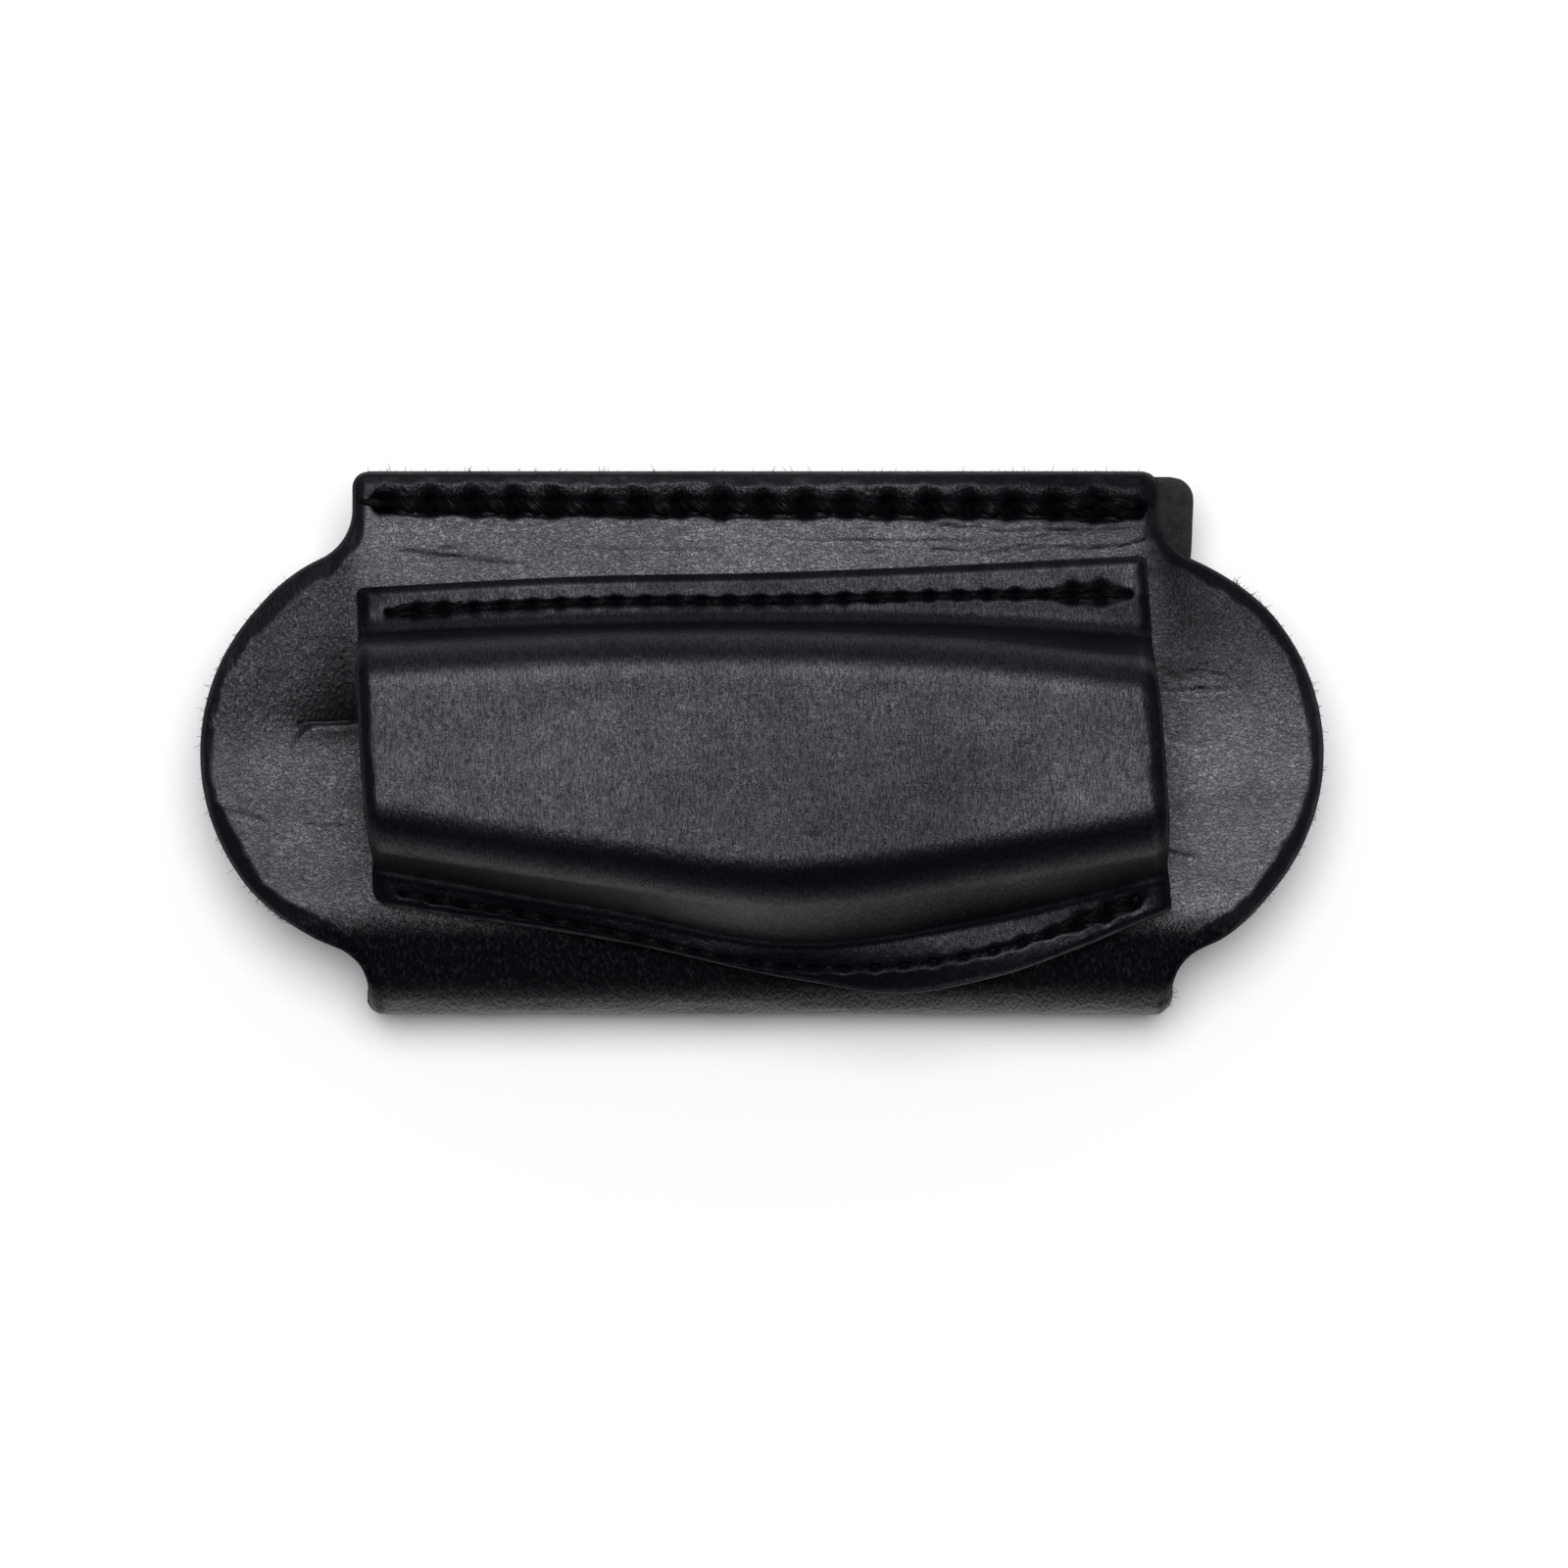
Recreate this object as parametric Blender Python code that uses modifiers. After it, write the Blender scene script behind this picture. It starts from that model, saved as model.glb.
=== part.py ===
"""Horizontal leather belt sheath for a folding knife, in metres, +Z up.

It lies on its back flap: X runs along the belt, +Y is the sheath's upper edge as worn, +Z is its front.
One blank makes the front with its two round ears, the fold at the bottom and the back flap, so that a belt
passes between the flap and the front. A wet-moulded pocket, open at both ends, is stitched on the front.
Each of the three seams is a lockstitch: a needle thread on the front and a bobbin thread on the back.
"""

import math

import bmesh
import bpy
import numpy as np
from mathutils import Matrix, Vector

MM = 0.001

# Leather and gaps
PANEL_LEATHER = 2.8 * MM
POCKET_LEATHER = 2.2 * MM
LAYER_GAP = 0.25 * MM
BELT_GAP = 6.8 * MM
EDGE_BEVEL = 0.3 * MM

# Heights: the rear face of the back flap lies on z = 0
FRONT_FACE = 2 * PANEL_LEATHER + BELT_GAP
FLANGE_HEIGHT = LAYER_GAP + POCKET_LEATHER
POCKET_RELIEF = 12.45 * MM

# Outline of the front
TOP_EDGE = 27.7 * MM
TOP_CORNER = 1.7 * MM
STRIP_HALF_WIDTH = 41.2 * MM
EAR_CENTRE_X = 35.65 * MM
EAR_CENTRE_Y = -1.1 * MM
EAR_RADIUS = 21.6 * MM
NECK_FILLET = 5.5 * MM

# Fold: a wide quarter arc at the front, then a tighter one at the back
FRONT_FOLD_RADIUS = 7.5 * MM
FRONT_FOLD_START = -20.15 * MM
BACK_FOLD_RADIUS = FRONT_FACE - FRONT_FOLD_RADIUS
BACK_FOLD_START = FRONT_FOLD_START - FRONT_FOLD_RADIUS + BACK_FOLD_RADIUS

# Back flap: flat behind the belt, then an S-bend up to the front layer
FLAP_RISE_START = 13.9 * MM
FLAP_RISE_ANGLE = math.radians(50)
FLAP_BEND_RADIUS = 3.5 * MM
FLAP_END = 27.2 * MM
FLAP_CORNER = 2.5 * MM
FLAP_SKEW = 0.045

# Pocket: its creases and edges at five stations along X
STATIONS = np.array([-38.0, -18.0, 2.0, 22.0, 38.0]) * MM
POCKET_TOP_EDGE = np.array([15.9, 16.9, 17.3, 18.1, 18.9]) * MM
UPPER_CREASE = np.array([11.3, 11.9, 12.2, 11.9, 11.1]) * MM
PLATEAU_TOP = np.array([6.5, 7.6, 7.8, 6.8, 4.9]) * MM
PLATEAU_BOTTOM = np.array([-7.2, -10.2, -12.0, -9.8, -7.5]) * MM
LOWER_CREASE = np.array([-13.4, -17.0, -20.6, -18.0, -14.2]) * MM
POCKET_BOTTOM_EDGE = np.array([-17.1, -20.2, -24.6, -24.3, -18.2]) * MM
POCKET_LOW_POINT = 12.0 * MM
POCKET_LOW_EDGE = -26.2 * MM
POCKET_LEFT_END = -40.5 * MM
POCKET_RIGHT_END = 40.55 * MM
LEFT_END_SLANT = -0.055
RIGHT_END_SLANT = -0.072
UPPER_SHOULDER = 3.8 * MM
LOWER_SHOULDER = 4.5 * MM
UPPER_WALL_LEAN = math.radians(77)
LOWER_WALL_LEAN = math.radians(70)
CREASE_RADIUS = 1.0 * MM
FLANGE_LIFT_ANGLE = math.radians(28)

# Stitches, in thread diameters: the slot at each awl hole, and the groove that the thread lies in
SLOT_LENGTH = 2.4
SLOT_WIDTH = 1.3
GROOVE_RADIUS = 0.74
GROOVE_OVERRUN = 1.44
THREAD_SINK = 0.15
THREAD_DIP = 1.15

# Seams: where they run at the same five stations
TOP_SEAM = np.array([24.2, 24.0, 23.9, 23.8, 23.6]) * MM
POCKET_UPPER_SEAM = np.array([13.9, 14.2, 14.4, 14.9, 15.0]) * MM
POCKET_LOWER_SEAM = np.array([-15.2, -18.7, -22.9, -21.6, -16.4]) * MM


class Seam:
    """One lockstitched seam: its line, its stitch, and the leather that it goes through."""

    def __init__(self, name, line, span, stitch, thread, front, back):
        self.name = name
        self.line = line
        self.first, self.last = span
        self.stitch = stitch
        self.thread = thread
        self.front = front
        self.back = back


FLAP_DEPTH = -2 * PANEL_LEATHER - LAYER_GAP
THREAD_NAMES = {"front": "needle", "back": "bobbin"}
SEAMS = (
    Seam("top_seam", TOP_SEAM, (-38.6 * MM, 38.3 * MM), 4.3 * MM, 1.25 * MM, 0.0, FLAP_DEPTH),
    Seam(
        "pocket_upper", POCKET_UPPER_SEAM, (-38.0 * MM, 37.4 * MM), 2.9 * MM, 0.75 * MM,
        FLANGE_HEIGHT, -PANEL_LEATHER,
    ),
    Seam(
        "pocket_lower", POCKET_LOWER_SEAM, (-36.6 * MM, 38.0 * MM), 3.05 * MM, 0.75 * MM,
        FLANGE_HEIGHT, -PANEL_LEATHER,
    ),
)


def clear_scene():
    for obj in list(bpy.data.objects):
        bpy.data.objects.remove(obj, do_unlink=True)


def new_collection(name, hidden=False):
    made = bpy.data.collections.new(name)
    made.hide_render = hidden
    bpy.context.scene.collection.children.link(made)
    return made


def material(name, colour, roughness):
    made = bpy.data.materials.new(name)
    made.use_nodes = True
    shader = made.node_tree.nodes["Principled BSDF"]
    shader.inputs["Base Color"].default_value = (*colour, 1)
    shader.inputs["Roughness"].default_value = roughness
    shader.inputs["Metallic"].default_value = 0
    return made


def add_object(name, mesh, collection, finish=None):
    made = bpy.data.objects.new(name, mesh)
    collection.objects.link(made)
    if finish:
        mesh.materials.append(finish)
    return made


def smooth_through(stations, values, x):
    """A smooth curve through a few stations, straight beyond the first and the last."""
    slopes = np.gradient(values, stations)
    i = int(np.clip(np.searchsorted(stations, x) - 1, 0, len(stations) - 2))
    if x <= stations[0]:
        return values[0] + slopes[0] * (x - stations[0])
    if x >= stations[-1]:
        return values[-1] + slopes[-1] * (x - stations[-1])
    step = stations[i + 1] - stations[i]
    t = (x - stations[i]) / step
    blend = t * t * (3 - 2 * t)
    lean = step * (slopes[i] * t * (1 - t) ** 2 - slopes[i + 1] * t * t * (1 - t))
    return values[i] * (1 - blend) + values[i + 1] * blend + lean


def at_station(values, x):
    return smooth_through(STATIONS, values, x)


def grid_mesh(name, rows):
    """An open surface from rows of points, all with the same count. It faces along row x next row."""
    shape = bmesh.new()
    verts = [[shape.verts.new(point) for point in row] for row in rows]
    for low, high in zip(verts, verts[1:]):
        for a, b, c, d in zip(low, low[1:], high[1:], high):
            shape.faces.new((a, b, c, d))
    mesh = bpy.data.meshes.new(name)
    shape.to_mesh(mesh)
    shape.free()
    return mesh


def add_thickness(obj, thickness):
    solid = obj.modifiers.new("leather", "SOLIDIFY")
    solid.thickness = thickness
    solid.offset = -1
    solid.use_even_offset = True
    edge = obj.modifiers.new("cut_edge", "BEVEL")
    edge.limit_method = "ANGLE"
    edge.angle_limit = math.radians(60)
    edge.width = EDGE_BEVEL
    edge.segments = 1


def cut(obj, cutter):
    boolean = obj.modifiers.new("cut_" + cutter.name, "BOOLEAN")
    boolean.operation = "DIFFERENCE"
    boolean.solver = "EXACT"
    boolean.object = cutter


# The blank


def front_half_width(y):
    """Half the front's width at this height: strip, neck fillets and ears."""
    fillet_x = STRIP_HALF_WIDTH + NECK_FILLET
    reach = EAR_RADIUS + NECK_FILLET
    across = fillet_x - EAR_CENTRE_X
    rise = math.sqrt(reach**2 - across**2)
    height = abs(y - EAR_CENTRE_Y)
    if height <= rise * EAR_RADIUS / reach:
        return EAR_CENTRE_X + math.sqrt(EAR_RADIUS**2 - height**2)
    if height <= rise:
        return fillet_x - math.sqrt(NECK_FILLET**2 - (rise - height) ** 2)
    corner = y - (TOP_EDGE - TOP_CORNER)
    if corner > 0:
        return STRIP_HALF_WIDTH - TOP_CORNER + math.sqrt(max(TOP_CORNER**2 - corner**2, 0))
    return STRIP_HALF_WIDTH


def flap_sides(y):
    """Left and right edge of the back flap, which lies a little askew."""
    shift = FLAP_SKEW * (y - BACK_FOLD_START)
    corner = max(y - (FLAP_END - FLAP_CORNER), 0)
    trim = FLAP_CORNER - math.sqrt(max(FLAP_CORNER**2 - corner**2, 0))
    return -STRIP_HALF_WIDTH + shift + trim, STRIP_HALF_WIDTH + shift - trim


def front_rows():
    corner = [TOP_EDGE - TOP_CORNER * (1 - math.sin(a)) for a in np.linspace(math.pi / 2, 0, 3)]
    rise = math.sqrt((EAR_RADIUS + NECK_FILLET) ** 2 - (STRIP_HALF_WIDTH + NECK_FILLET - EAR_CENTRE_X) ** 2)
    tangent = rise * EAR_RADIUS / (EAR_RADIUS + NECK_FILLET)
    neck = list(np.linspace(EAR_CENTRE_Y + rise, EAR_CENTRE_Y + tangent, 6))
    highest = math.asin(tangent / EAR_RADIUS)
    lowest = math.asin((EAR_CENTRE_Y - FRONT_FOLD_START) / EAR_RADIUS)
    ear = [EAR_CENTRE_Y + EAR_RADIUS * math.sin(a) for a in np.linspace(highest, -lowest, 25)]
    for y in corner + neck + ear[1:]:
        half = front_half_width(y)
        yield y, FRONT_FACE, -half, half


def fold_rows():
    for angle in np.radians(np.linspace(0, 90, 13))[1:]:
        y = FRONT_FOLD_START - FRONT_FOLD_RADIUS * math.sin(angle)
        half = front_half_width(y)
        yield y, BACK_FOLD_RADIUS + FRONT_FOLD_RADIUS * math.cos(angle), -half, half
    for angle in np.radians(np.linspace(90, 180, 8))[1:]:
        y = BACK_FOLD_START - BACK_FOLD_RADIUS * math.sin(angle)
        yield y, BACK_FOLD_RADIUS * (1 + math.cos(angle)), -STRIP_HALF_WIDTH, STRIP_HALF_WIDTH


def flap_rows():
    """The rear face of the flap: flat, up through the S-bend, and flat again behind the top seam."""
    outer = FLAP_BEND_RADIUS + PANEL_LEATHER / 2
    inner = FLAP_BEND_RADIUS - PANEL_LEATHER / 2
    rise = FRONT_FACE + FLAP_DEPTH
    straight = (rise - (outer + inner) * (1 - math.cos(FLAP_RISE_ANGLE))) / math.sin(FLAP_RISE_ANGLE)
    steps = np.linspace(0, FLAP_RISE_ANGLE, 5)
    points = [(FLAP_RISE_START + outer * math.sin(a), outer * (1 - math.cos(a))) for a in steps]
    y, z = points[-1]
    top_y = y + straight * math.cos(FLAP_RISE_ANGLE) + inner * math.sin(FLAP_RISE_ANGLE)
    points += [(top_y - inner * math.sin(a), rise - inner * (1 - math.cos(a))) for a in steps[::-1]]
    corner = [FLAP_END - FLAP_CORNER * (1 - math.sin(a)) for a in np.linspace(0, math.pi / 2, 3)]
    points += [(y, rise) for y in corner]
    for y, z in points:
        left, right = flap_sides(y)
        yield y, z, left, right


def make_panel(collection, finish):
    columns = 6
    rows = []
    for y, z, left, right in [*front_rows(), *fold_rows(), *flap_rows()]:
        rows.append([(x, y, z) for x in np.linspace(right, left, columns)])
    panel = add_object("folded_belt_panel", grid_mesh("folded_belt_panel", rows), collection, finish)
    add_thickness(panel, PANEL_LEATHER)
    return panel


# The pocket


def over_front(y, height):
    """The point at this height over the front face, on the normal that meets the pocket's flange at y."""
    along = FRONT_FOLD_START - y
    if along <= 0:
        return Vector((0, y, FRONT_FACE + height)), Vector((0, 0, 1))
    angle = math.asin(along / (FRONT_FOLD_RADIUS + FLANGE_HEIGHT))
    normal = Vector((0, -math.sin(angle), math.cos(angle)))
    return Vector((0, FRONT_FOLD_START, BACK_FOLD_RADIUS)) + (FRONT_FOLD_RADIUS + height) * normal, normal


def flange_z(y):
    """The flange's outer face follows the fold, then leaves it along the tangent."""
    radius = FRONT_FOLD_RADIUS + FLANGE_HEIGHT
    lift_y = FRONT_FOLD_START - radius * math.sin(FLANGE_LIFT_ANGLE)
    if y >= lift_y:
        return over_front(y, FLANGE_HEIGHT)[0].z
    return over_front(lift_y, FLANGE_HEIGHT)[0].z + math.tan(FLANGE_LIFT_ANGLE) * (y - lift_y)


def bottom_edge(x):
    """The pocket's lower edge, which comes to a blunt point right of the middle."""
    stations = np.insert(STATIONS, 3, POCKET_LOW_POINT)
    return smooth_through(stations, np.insert(POCKET_BOTTOM_EDGE, 3, POCKET_LOW_EDGE), x)


def fillet(before, corner, after, radius, steps):
    """Points of an arc that rounds a corner of a polygon."""
    to_before = (before - corner).normalized()
    to_after = (after - corner).normalized()
    half = to_before.angle(to_after) / 2
    centre = corner + (to_before + to_after).normalized() * radius / math.sin(half)
    start = (corner + to_before * radius / math.tan(half) - centre).normalized()
    end = (corner + to_after * radius / math.tan(half) - centre).normalized()
    return [centre + radius * start.slerp(end, t) for t in np.linspace(0, 1, steps)]


def pocket_section(x):
    """Points (y, z) of the pocket's outer face, from its top edge to its bottom edge."""
    base = FRONT_FACE + FLANGE_HEIGHT
    roof = base + POCKET_RELIEF
    upper_crease, lower_crease = at_station(UPPER_CREASE, x), at_station(LOWER_CREASE, x)
    high = Vector((at_station(PLATEAU_TOP, x) + UPPER_SHOULDER * math.tan(UPPER_WALL_LEAN / 2), roof))
    low = Vector((at_station(PLATEAU_BOTTOM, x) - LOWER_SHOULDER * math.tan(LOWER_WALL_LEAN / 2), roof))
    top = Vector((at_station(POCKET_TOP_EDGE, x), base))
    crease = Vector((upper_crease, base))
    foot = Vector((lower_crease, flange_z(lower_crease)))
    edge = bottom_edge(x)
    skirt = [Vector((y, flange_z(y))) for y in np.linspace(lower_crease, edge, 6)]
    points = [top]
    points += fillet(top, crease, high, CREASE_RADIUS, 4)
    points += fillet(crease, high, low, UPPER_SHOULDER, 6)
    points += fillet(high, low, foot, LOWER_SHOULDER, 6)
    points += fillet(low, foot, skirt[1], CREASE_RADIUS, 4)
    start = points[-1].x
    points += [Vector((y, flange_z(y))) for y in np.linspace(start, edge, 6)[1:]]
    return points


def make_pocket(collection, finish):
    sections = []
    for share in np.linspace(0, 1, 25):
        section = pocket_section(POCKET_LEFT_END + share * (POCKET_RIGHT_END - POCKET_LEFT_END))
        row = []
        for y, z in section:
            left = POCKET_LEFT_END + LEFT_END_SLANT * y
            right = POCKET_RIGHT_END + RIGHT_END_SLANT * y
            row.append((left + share * (right - left), y, z))
        sections.append(row)
    pocket = add_object("moulded_pocket", grid_mesh("moulded_pocket", sections), collection, finish)
    add_thickness(pocket, POCKET_LEATHER)
    return pocket


# Seams


def seam_points(seam, spacing, height):
    """Evenly spaced points along a seam at a height over the front face, each with its normal."""
    fine = np.linspace(seam.first, seam.last, 400)
    ys = np.array([at_station(seam.line, x) for x in fine])
    run = np.concatenate([[0], np.cumsum(np.hypot(np.diff(fine), np.diff(ys)))])
    count = round(run[-1] / spacing)
    found = []
    for distance in np.linspace(0, run[-1], count + 1):
        x, y = np.interp(distance, run, fine), np.interp(distance, run, ys)
        if seam.front:
            point, normal = over_front(y, height)
        else:
            point, normal = Vector((0, y, FRONT_FACE + height)), Vector((0, 0, 1))
        found.append((Vector((x, point.y, point.z)), normal))
    return found


def tube(name, points, radius, collection):
    """A tube with closed ends along a line of points, as a mesh."""
    path = bpy.data.curves.new(name + "_path", "CURVE")
    path.dimensions = "3D"
    path.bevel_depth = radius
    path.bevel_resolution = 1
    path.use_fill_caps = True
    spline = path.splines.new("POLY")
    spline.points.add(len(points) - 1)
    for control, point in zip(spline.points, points):
        control.co = (*point, 1)
    guide = bpy.data.objects.new(name + "_path", path)
    collection.objects.link(guide)
    graph = bpy.context.evaluated_depsgraph_get()
    mesh = bpy.data.meshes.new_from_object(guide.evaluated_get(graph))
    mesh.name = name
    bpy.data.objects.remove(guide, do_unlink=True)
    shape = bmesh.new()
    shape.from_mesh(mesh)
    bmesh.ops.remove_doubles(shape, verts=shape.verts, dist=1e-7)
    bmesh.ops.recalc_face_normals(shape, faces=shape.faces)
    shape.to_mesh(mesh)
    shape.free()
    return add_object(name, mesh, collection)


def thread_levels(seam):
    """Each side's thread height over the front face, and which way is into the leather."""
    sink = THREAD_SINK * seam.thread
    return {"front": (seam.front - sink, -1), "back": (seam.back + sink, 1)}


def thread_path(seam, level, inward):
    """The thread's middle line: flat along each stitch, down into the slot at each hole."""
    holes = seam_points(seam, seam.stitch, level)
    half_slot = SLOT_LENGTH * seam.thread / 2
    path = []
    for i, (hole, normal) in enumerate(holes):
        if i:
            along = (hole - holes[i - 1][0]).normalized()
            path.append(hole - along * half_slot)
        path.append(hole + normal * inward * THREAD_DIP * seam.thread)
        if i < len(holes) - 1:
            along = (holes[i + 1][0] - hole).normalized()
            path.append(hole + along * half_slot)
    return path


def make_threads(seam, collection, finish):
    for side, (level, inward) in thread_levels(seam).items():
        path = thread_path(seam, level, inward)
        name = f"{seam.name}_{THREAD_NAMES[side]}_thread"
        thread = tube(name, path, seam.thread / 2, collection)
        thread.data.materials.append(finish)
        thread.data.shade_smooth()


def make_slots(seam, cutters):
    """The awl holes of a seam, as one cutter of separate blocks, along the leather's normal."""
    middle = (seam.front + seam.back) / 2
    depth = seam.front - seam.back + seam.thread
    holes = seam_points(seam, seam.stitch, middle)
    shape = bmesh.new()
    for i, (hole, normal) in enumerate(holes):
        before, after = holes[max(i - 1, 0)][0], holes[min(i + 1, len(holes) - 1)][0]
        across = normal.cross(after - before).normalized()
        along = across.cross(normal)
        turn = Matrix((along, across, normal)).transposed().to_4x4()
        size = Matrix.Diagonal((SLOT_LENGTH * seam.thread, SLOT_WIDTH * seam.thread, depth, 1))
        bmesh.ops.create_cube(shape, size=1, matrix=Matrix.Translation(hole) @ turn @ size)
    mesh = bpy.data.meshes.new(seam.name + "_slots")
    shape.to_mesh(mesh)
    shape.free()
    return hide(add_object(seam.name + "_slots", mesh, cutters))


def make_groove(seam, side, cutters):
    """The groove that a thread lies in, which runs a little past the end stitches."""
    level, _ = thread_levels(seam)[side]
    points = [point for point, _ in seam_points(seam, 2 * seam.stitch, level)]
    overrun = GROOVE_OVERRUN * seam.thread
    first = points[0] + (points[0] - points[1]).normalized() * overrun
    last = points[-1] + (points[-1] - points[-2]).normalized() * overrun
    name = f"{seam.name}_{side}_groove"
    return hide(tube(name, [first, *points, last], GROOVE_RADIUS * seam.thread, cutters))


def hide(cutter):
    cutter.hide_render = True
    cutter.display_type = "WIRE"
    return cutter


def stitch(seam, layers, parts, cutters, finish):
    """Cuts a seam's holes and grooves and lays its two threads. The layers run from front to back."""
    slots = make_slots(seam, cutters)
    cut(layers[0], make_groove(seam, "front", cutters))
    cut(layers[-1], make_groove(seam, "back", cutters))
    for layer in dict.fromkeys(layers):
        cut(layer, slots)
    make_threads(seam, parts, finish)


def main():
    clear_scene()
    parts = new_collection("belt_sheath")
    cutters = new_collection("cutters", hidden=True)
    grain = material("black_leather", (0.014, 0.013, 0.013), 0.5)
    moulded = material("moulded_black_leather", (0.012, 0.012, 0.013), 0.42)
    thread = material("waxed_black_thread", (0.006, 0.006, 0.006), 0.4)
    panel = make_panel(parts, grain)
    pocket = make_pocket(parts, moulded)
    top_seam, pocket_upper, pocket_lower = SEAMS
    stitch(top_seam, (panel,), parts, cutters, thread)
    stitch(pocket_upper, (pocket, panel), parts, cutters, thread)
    stitch(pocket_lower, (pocket, panel), parts, cutters, thread)


main()
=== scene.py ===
"""Looks of the horizontal leather belt sheath: fine leather and thread meshes, in metres."""

import functools
import math

import bpy
import numpy as np
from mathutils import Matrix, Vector
from mathutils.kdtree import KDTree


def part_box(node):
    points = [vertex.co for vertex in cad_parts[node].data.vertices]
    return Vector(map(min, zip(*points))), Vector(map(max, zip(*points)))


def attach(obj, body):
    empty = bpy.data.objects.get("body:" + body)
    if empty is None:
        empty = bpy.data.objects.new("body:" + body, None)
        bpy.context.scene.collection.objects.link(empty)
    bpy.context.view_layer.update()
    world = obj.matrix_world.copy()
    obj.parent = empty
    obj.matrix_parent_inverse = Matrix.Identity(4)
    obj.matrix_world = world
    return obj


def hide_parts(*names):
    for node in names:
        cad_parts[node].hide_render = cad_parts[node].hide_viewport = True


MM = 0.001


def mm(*values):
    return np.array(values) * MM


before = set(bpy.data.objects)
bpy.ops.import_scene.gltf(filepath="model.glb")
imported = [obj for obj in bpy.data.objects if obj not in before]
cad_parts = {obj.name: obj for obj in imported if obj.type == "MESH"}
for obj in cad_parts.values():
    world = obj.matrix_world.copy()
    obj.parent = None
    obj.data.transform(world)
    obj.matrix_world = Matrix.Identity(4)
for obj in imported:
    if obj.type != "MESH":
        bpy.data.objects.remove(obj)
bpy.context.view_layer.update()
panel_low, panel_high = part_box("folded_belt_panel")
pocket_low, pocket_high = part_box("moulded_pocket")

# Leather, as in the CAD model
PANEL_LEATHER = 2.8 * MM
POCKET_LEATHER = 2.2 * MM
LAYER_GAP = 0.25 * MM
FRONT_FACE = panel_high[2]
FLANGE_FACE = FRONT_FACE + LAYER_GAP + POCKET_LEATHER
POCKET_ROOF = pocket_high[2]

# Outline of the front
TOP_EDGE = panel_high[1]
EAR_TIP = panel_high[0]
TOP_CORNER = 1.7 * MM
STRIP_HALF = 41.2 * MM
EAR_RADIUS = 21.8 * MM
EAR_CENTRE_X = EAR_TIP - 21.65 * MM
EAR_CENTRE_Y = -1.1 * MM
NECK_FILLET = 5.5 * MM

# Fold and back flap
FRONT_FOLD_RADIUS = 7.5 * MM
BACK_FOLD_RADIUS = FRONT_FACE - FRONT_FOLD_RADIUS
FRONT_FOLD_START = panel_low[1] + FRONT_FOLD_RADIUS
BACK_FOLD_START = panel_low[1] + BACK_FOLD_RADIUS
FLAP_RISE_START = 13.9 * MM
FLAP_RISE_ANGLE = math.radians(50)
FLAP_BEND_RADIUS = 3.5 * MM
FLAP_END = 27.2 * MM
FLAP_CORNER = 2.5 * MM
FLAP_SKEW = 0.045

# Pocket: creases and edges at five stations along X
STATIONS = mm(-38.0, -18.0, 2.0, 22.0, 38.0)
POCKET_TOP_EDGE = mm(15.9, 16.9, 17.3, 18.1, 18.9)
UPPER_CREASE = mm(11.3, 11.9, 12.2, 11.9, 11.1)
PLATEAU_TOP = mm(6.5, 7.6, 7.8, 6.8, 4.9)
PLATEAU_BOTTOM = mm(-7.2, -10.2, -12.0, -9.8, -7.5)
LOWER_CREASE = mm(-13.4, -17.0, -20.6, -18.0, -14.2)
POCKET_BOTTOM_EDGE = mm(-17.1, -20.2, -24.6, -24.3, -18.2)
POCKET_LOW_POINT = 12.0 * MM
POCKET_LOW_EDGE = pocket_low[1]
POCKET_LEFT_END = -40.5 * MM
POCKET_RIGHT_END = 40.55 * MM
LEFT_END_SLANT = -0.055
RIGHT_END_SLANT = -0.072
UPPER_SHOULDER = 3.8 * MM
LOWER_SHOULDER = 4.5 * MM
UPPER_WALL_LEAN = math.radians(77)
LOWER_WALL_LEAN = math.radians(70)
UPPER_CREASE_RADIUS = 2.1 * MM
LOWER_CREASE_RADIUS = 1.0 * MM
SHOULDER_SOFTNESS = 1.27
FLANGE_LIFT_ANGLE = math.radians(28)

# Seams at the same stations
TOP_SEAM = mm(24.2, 24.0, 23.9, 23.8, 23.6)
POCKET_UPPER_SEAM = mm(13.1, 14.2, 14.4, 14.9, 15.0)
POCKET_LOWER_SEAM = mm(-15.2, -18.7, -22.9, -21.6, -16.4)

# Stitches
STITCH_LIFT = 0.12 * MM
THREAD_SIDES = 18
THREAD_STEP = 0.12 * MM

# Cut edges
RIM_WIDTH = 0.55 * MM
RIM_DEPTH = 0.45 * MM
BEVEL_SOFTNESS = 0.35 * MM
FIBRE_LENGTH = 0.75 * MM
FIBRE_RADIUS = 0.045 * MM
FIBRE_TIP = 0.35

# Noise: the lattice's cells each way, and a shift that keeps its lines off the origin
NOISE_CELLS = 64
NOISE_SHIFT = (500.3, 500.7)


# Numbers over surfaces


def smooth_through(stations, values, x):
    """A smooth curve through a few stations, straight beyond the first and the last."""
    slopes = np.gradient(values, stations)
    i = np.clip(np.searchsorted(stations, x) - 1, 0, len(stations) - 2)
    step = stations[i + 1] - stations[i]
    t = np.clip((x - stations[i]) / step, 0, 1)
    blend = t * t * (3 - 2 * t)
    lean = step * (slopes[i] * t * (1 - t) ** 2 - slopes[i + 1] * t * t * (1 - t))
    before = slopes[0] * np.minimum(x - stations[0], 0)
    after = slopes[-1] * np.maximum(x - stations[-1], 0)
    return values[i] * (1 - blend) + values[i + 1] * blend + lean + before + after


def at_station(values, x):
    return smooth_through(STATIONS, values, x)


def ramp(low, high, value):
    """0 below low, 1 above high, smooth between. With low above high it falls instead."""
    t = np.clip((value - low) / (high - low), 0, 1)
    return t * t * (3 - 2 * t)


def mm_ramp(low, high, value):
    """The same between two places in millimetres."""
    return ramp(low * MM, high * MM, value)


def bump(distance, width):
    return np.exp(-((distance / width) ** 2))


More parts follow.
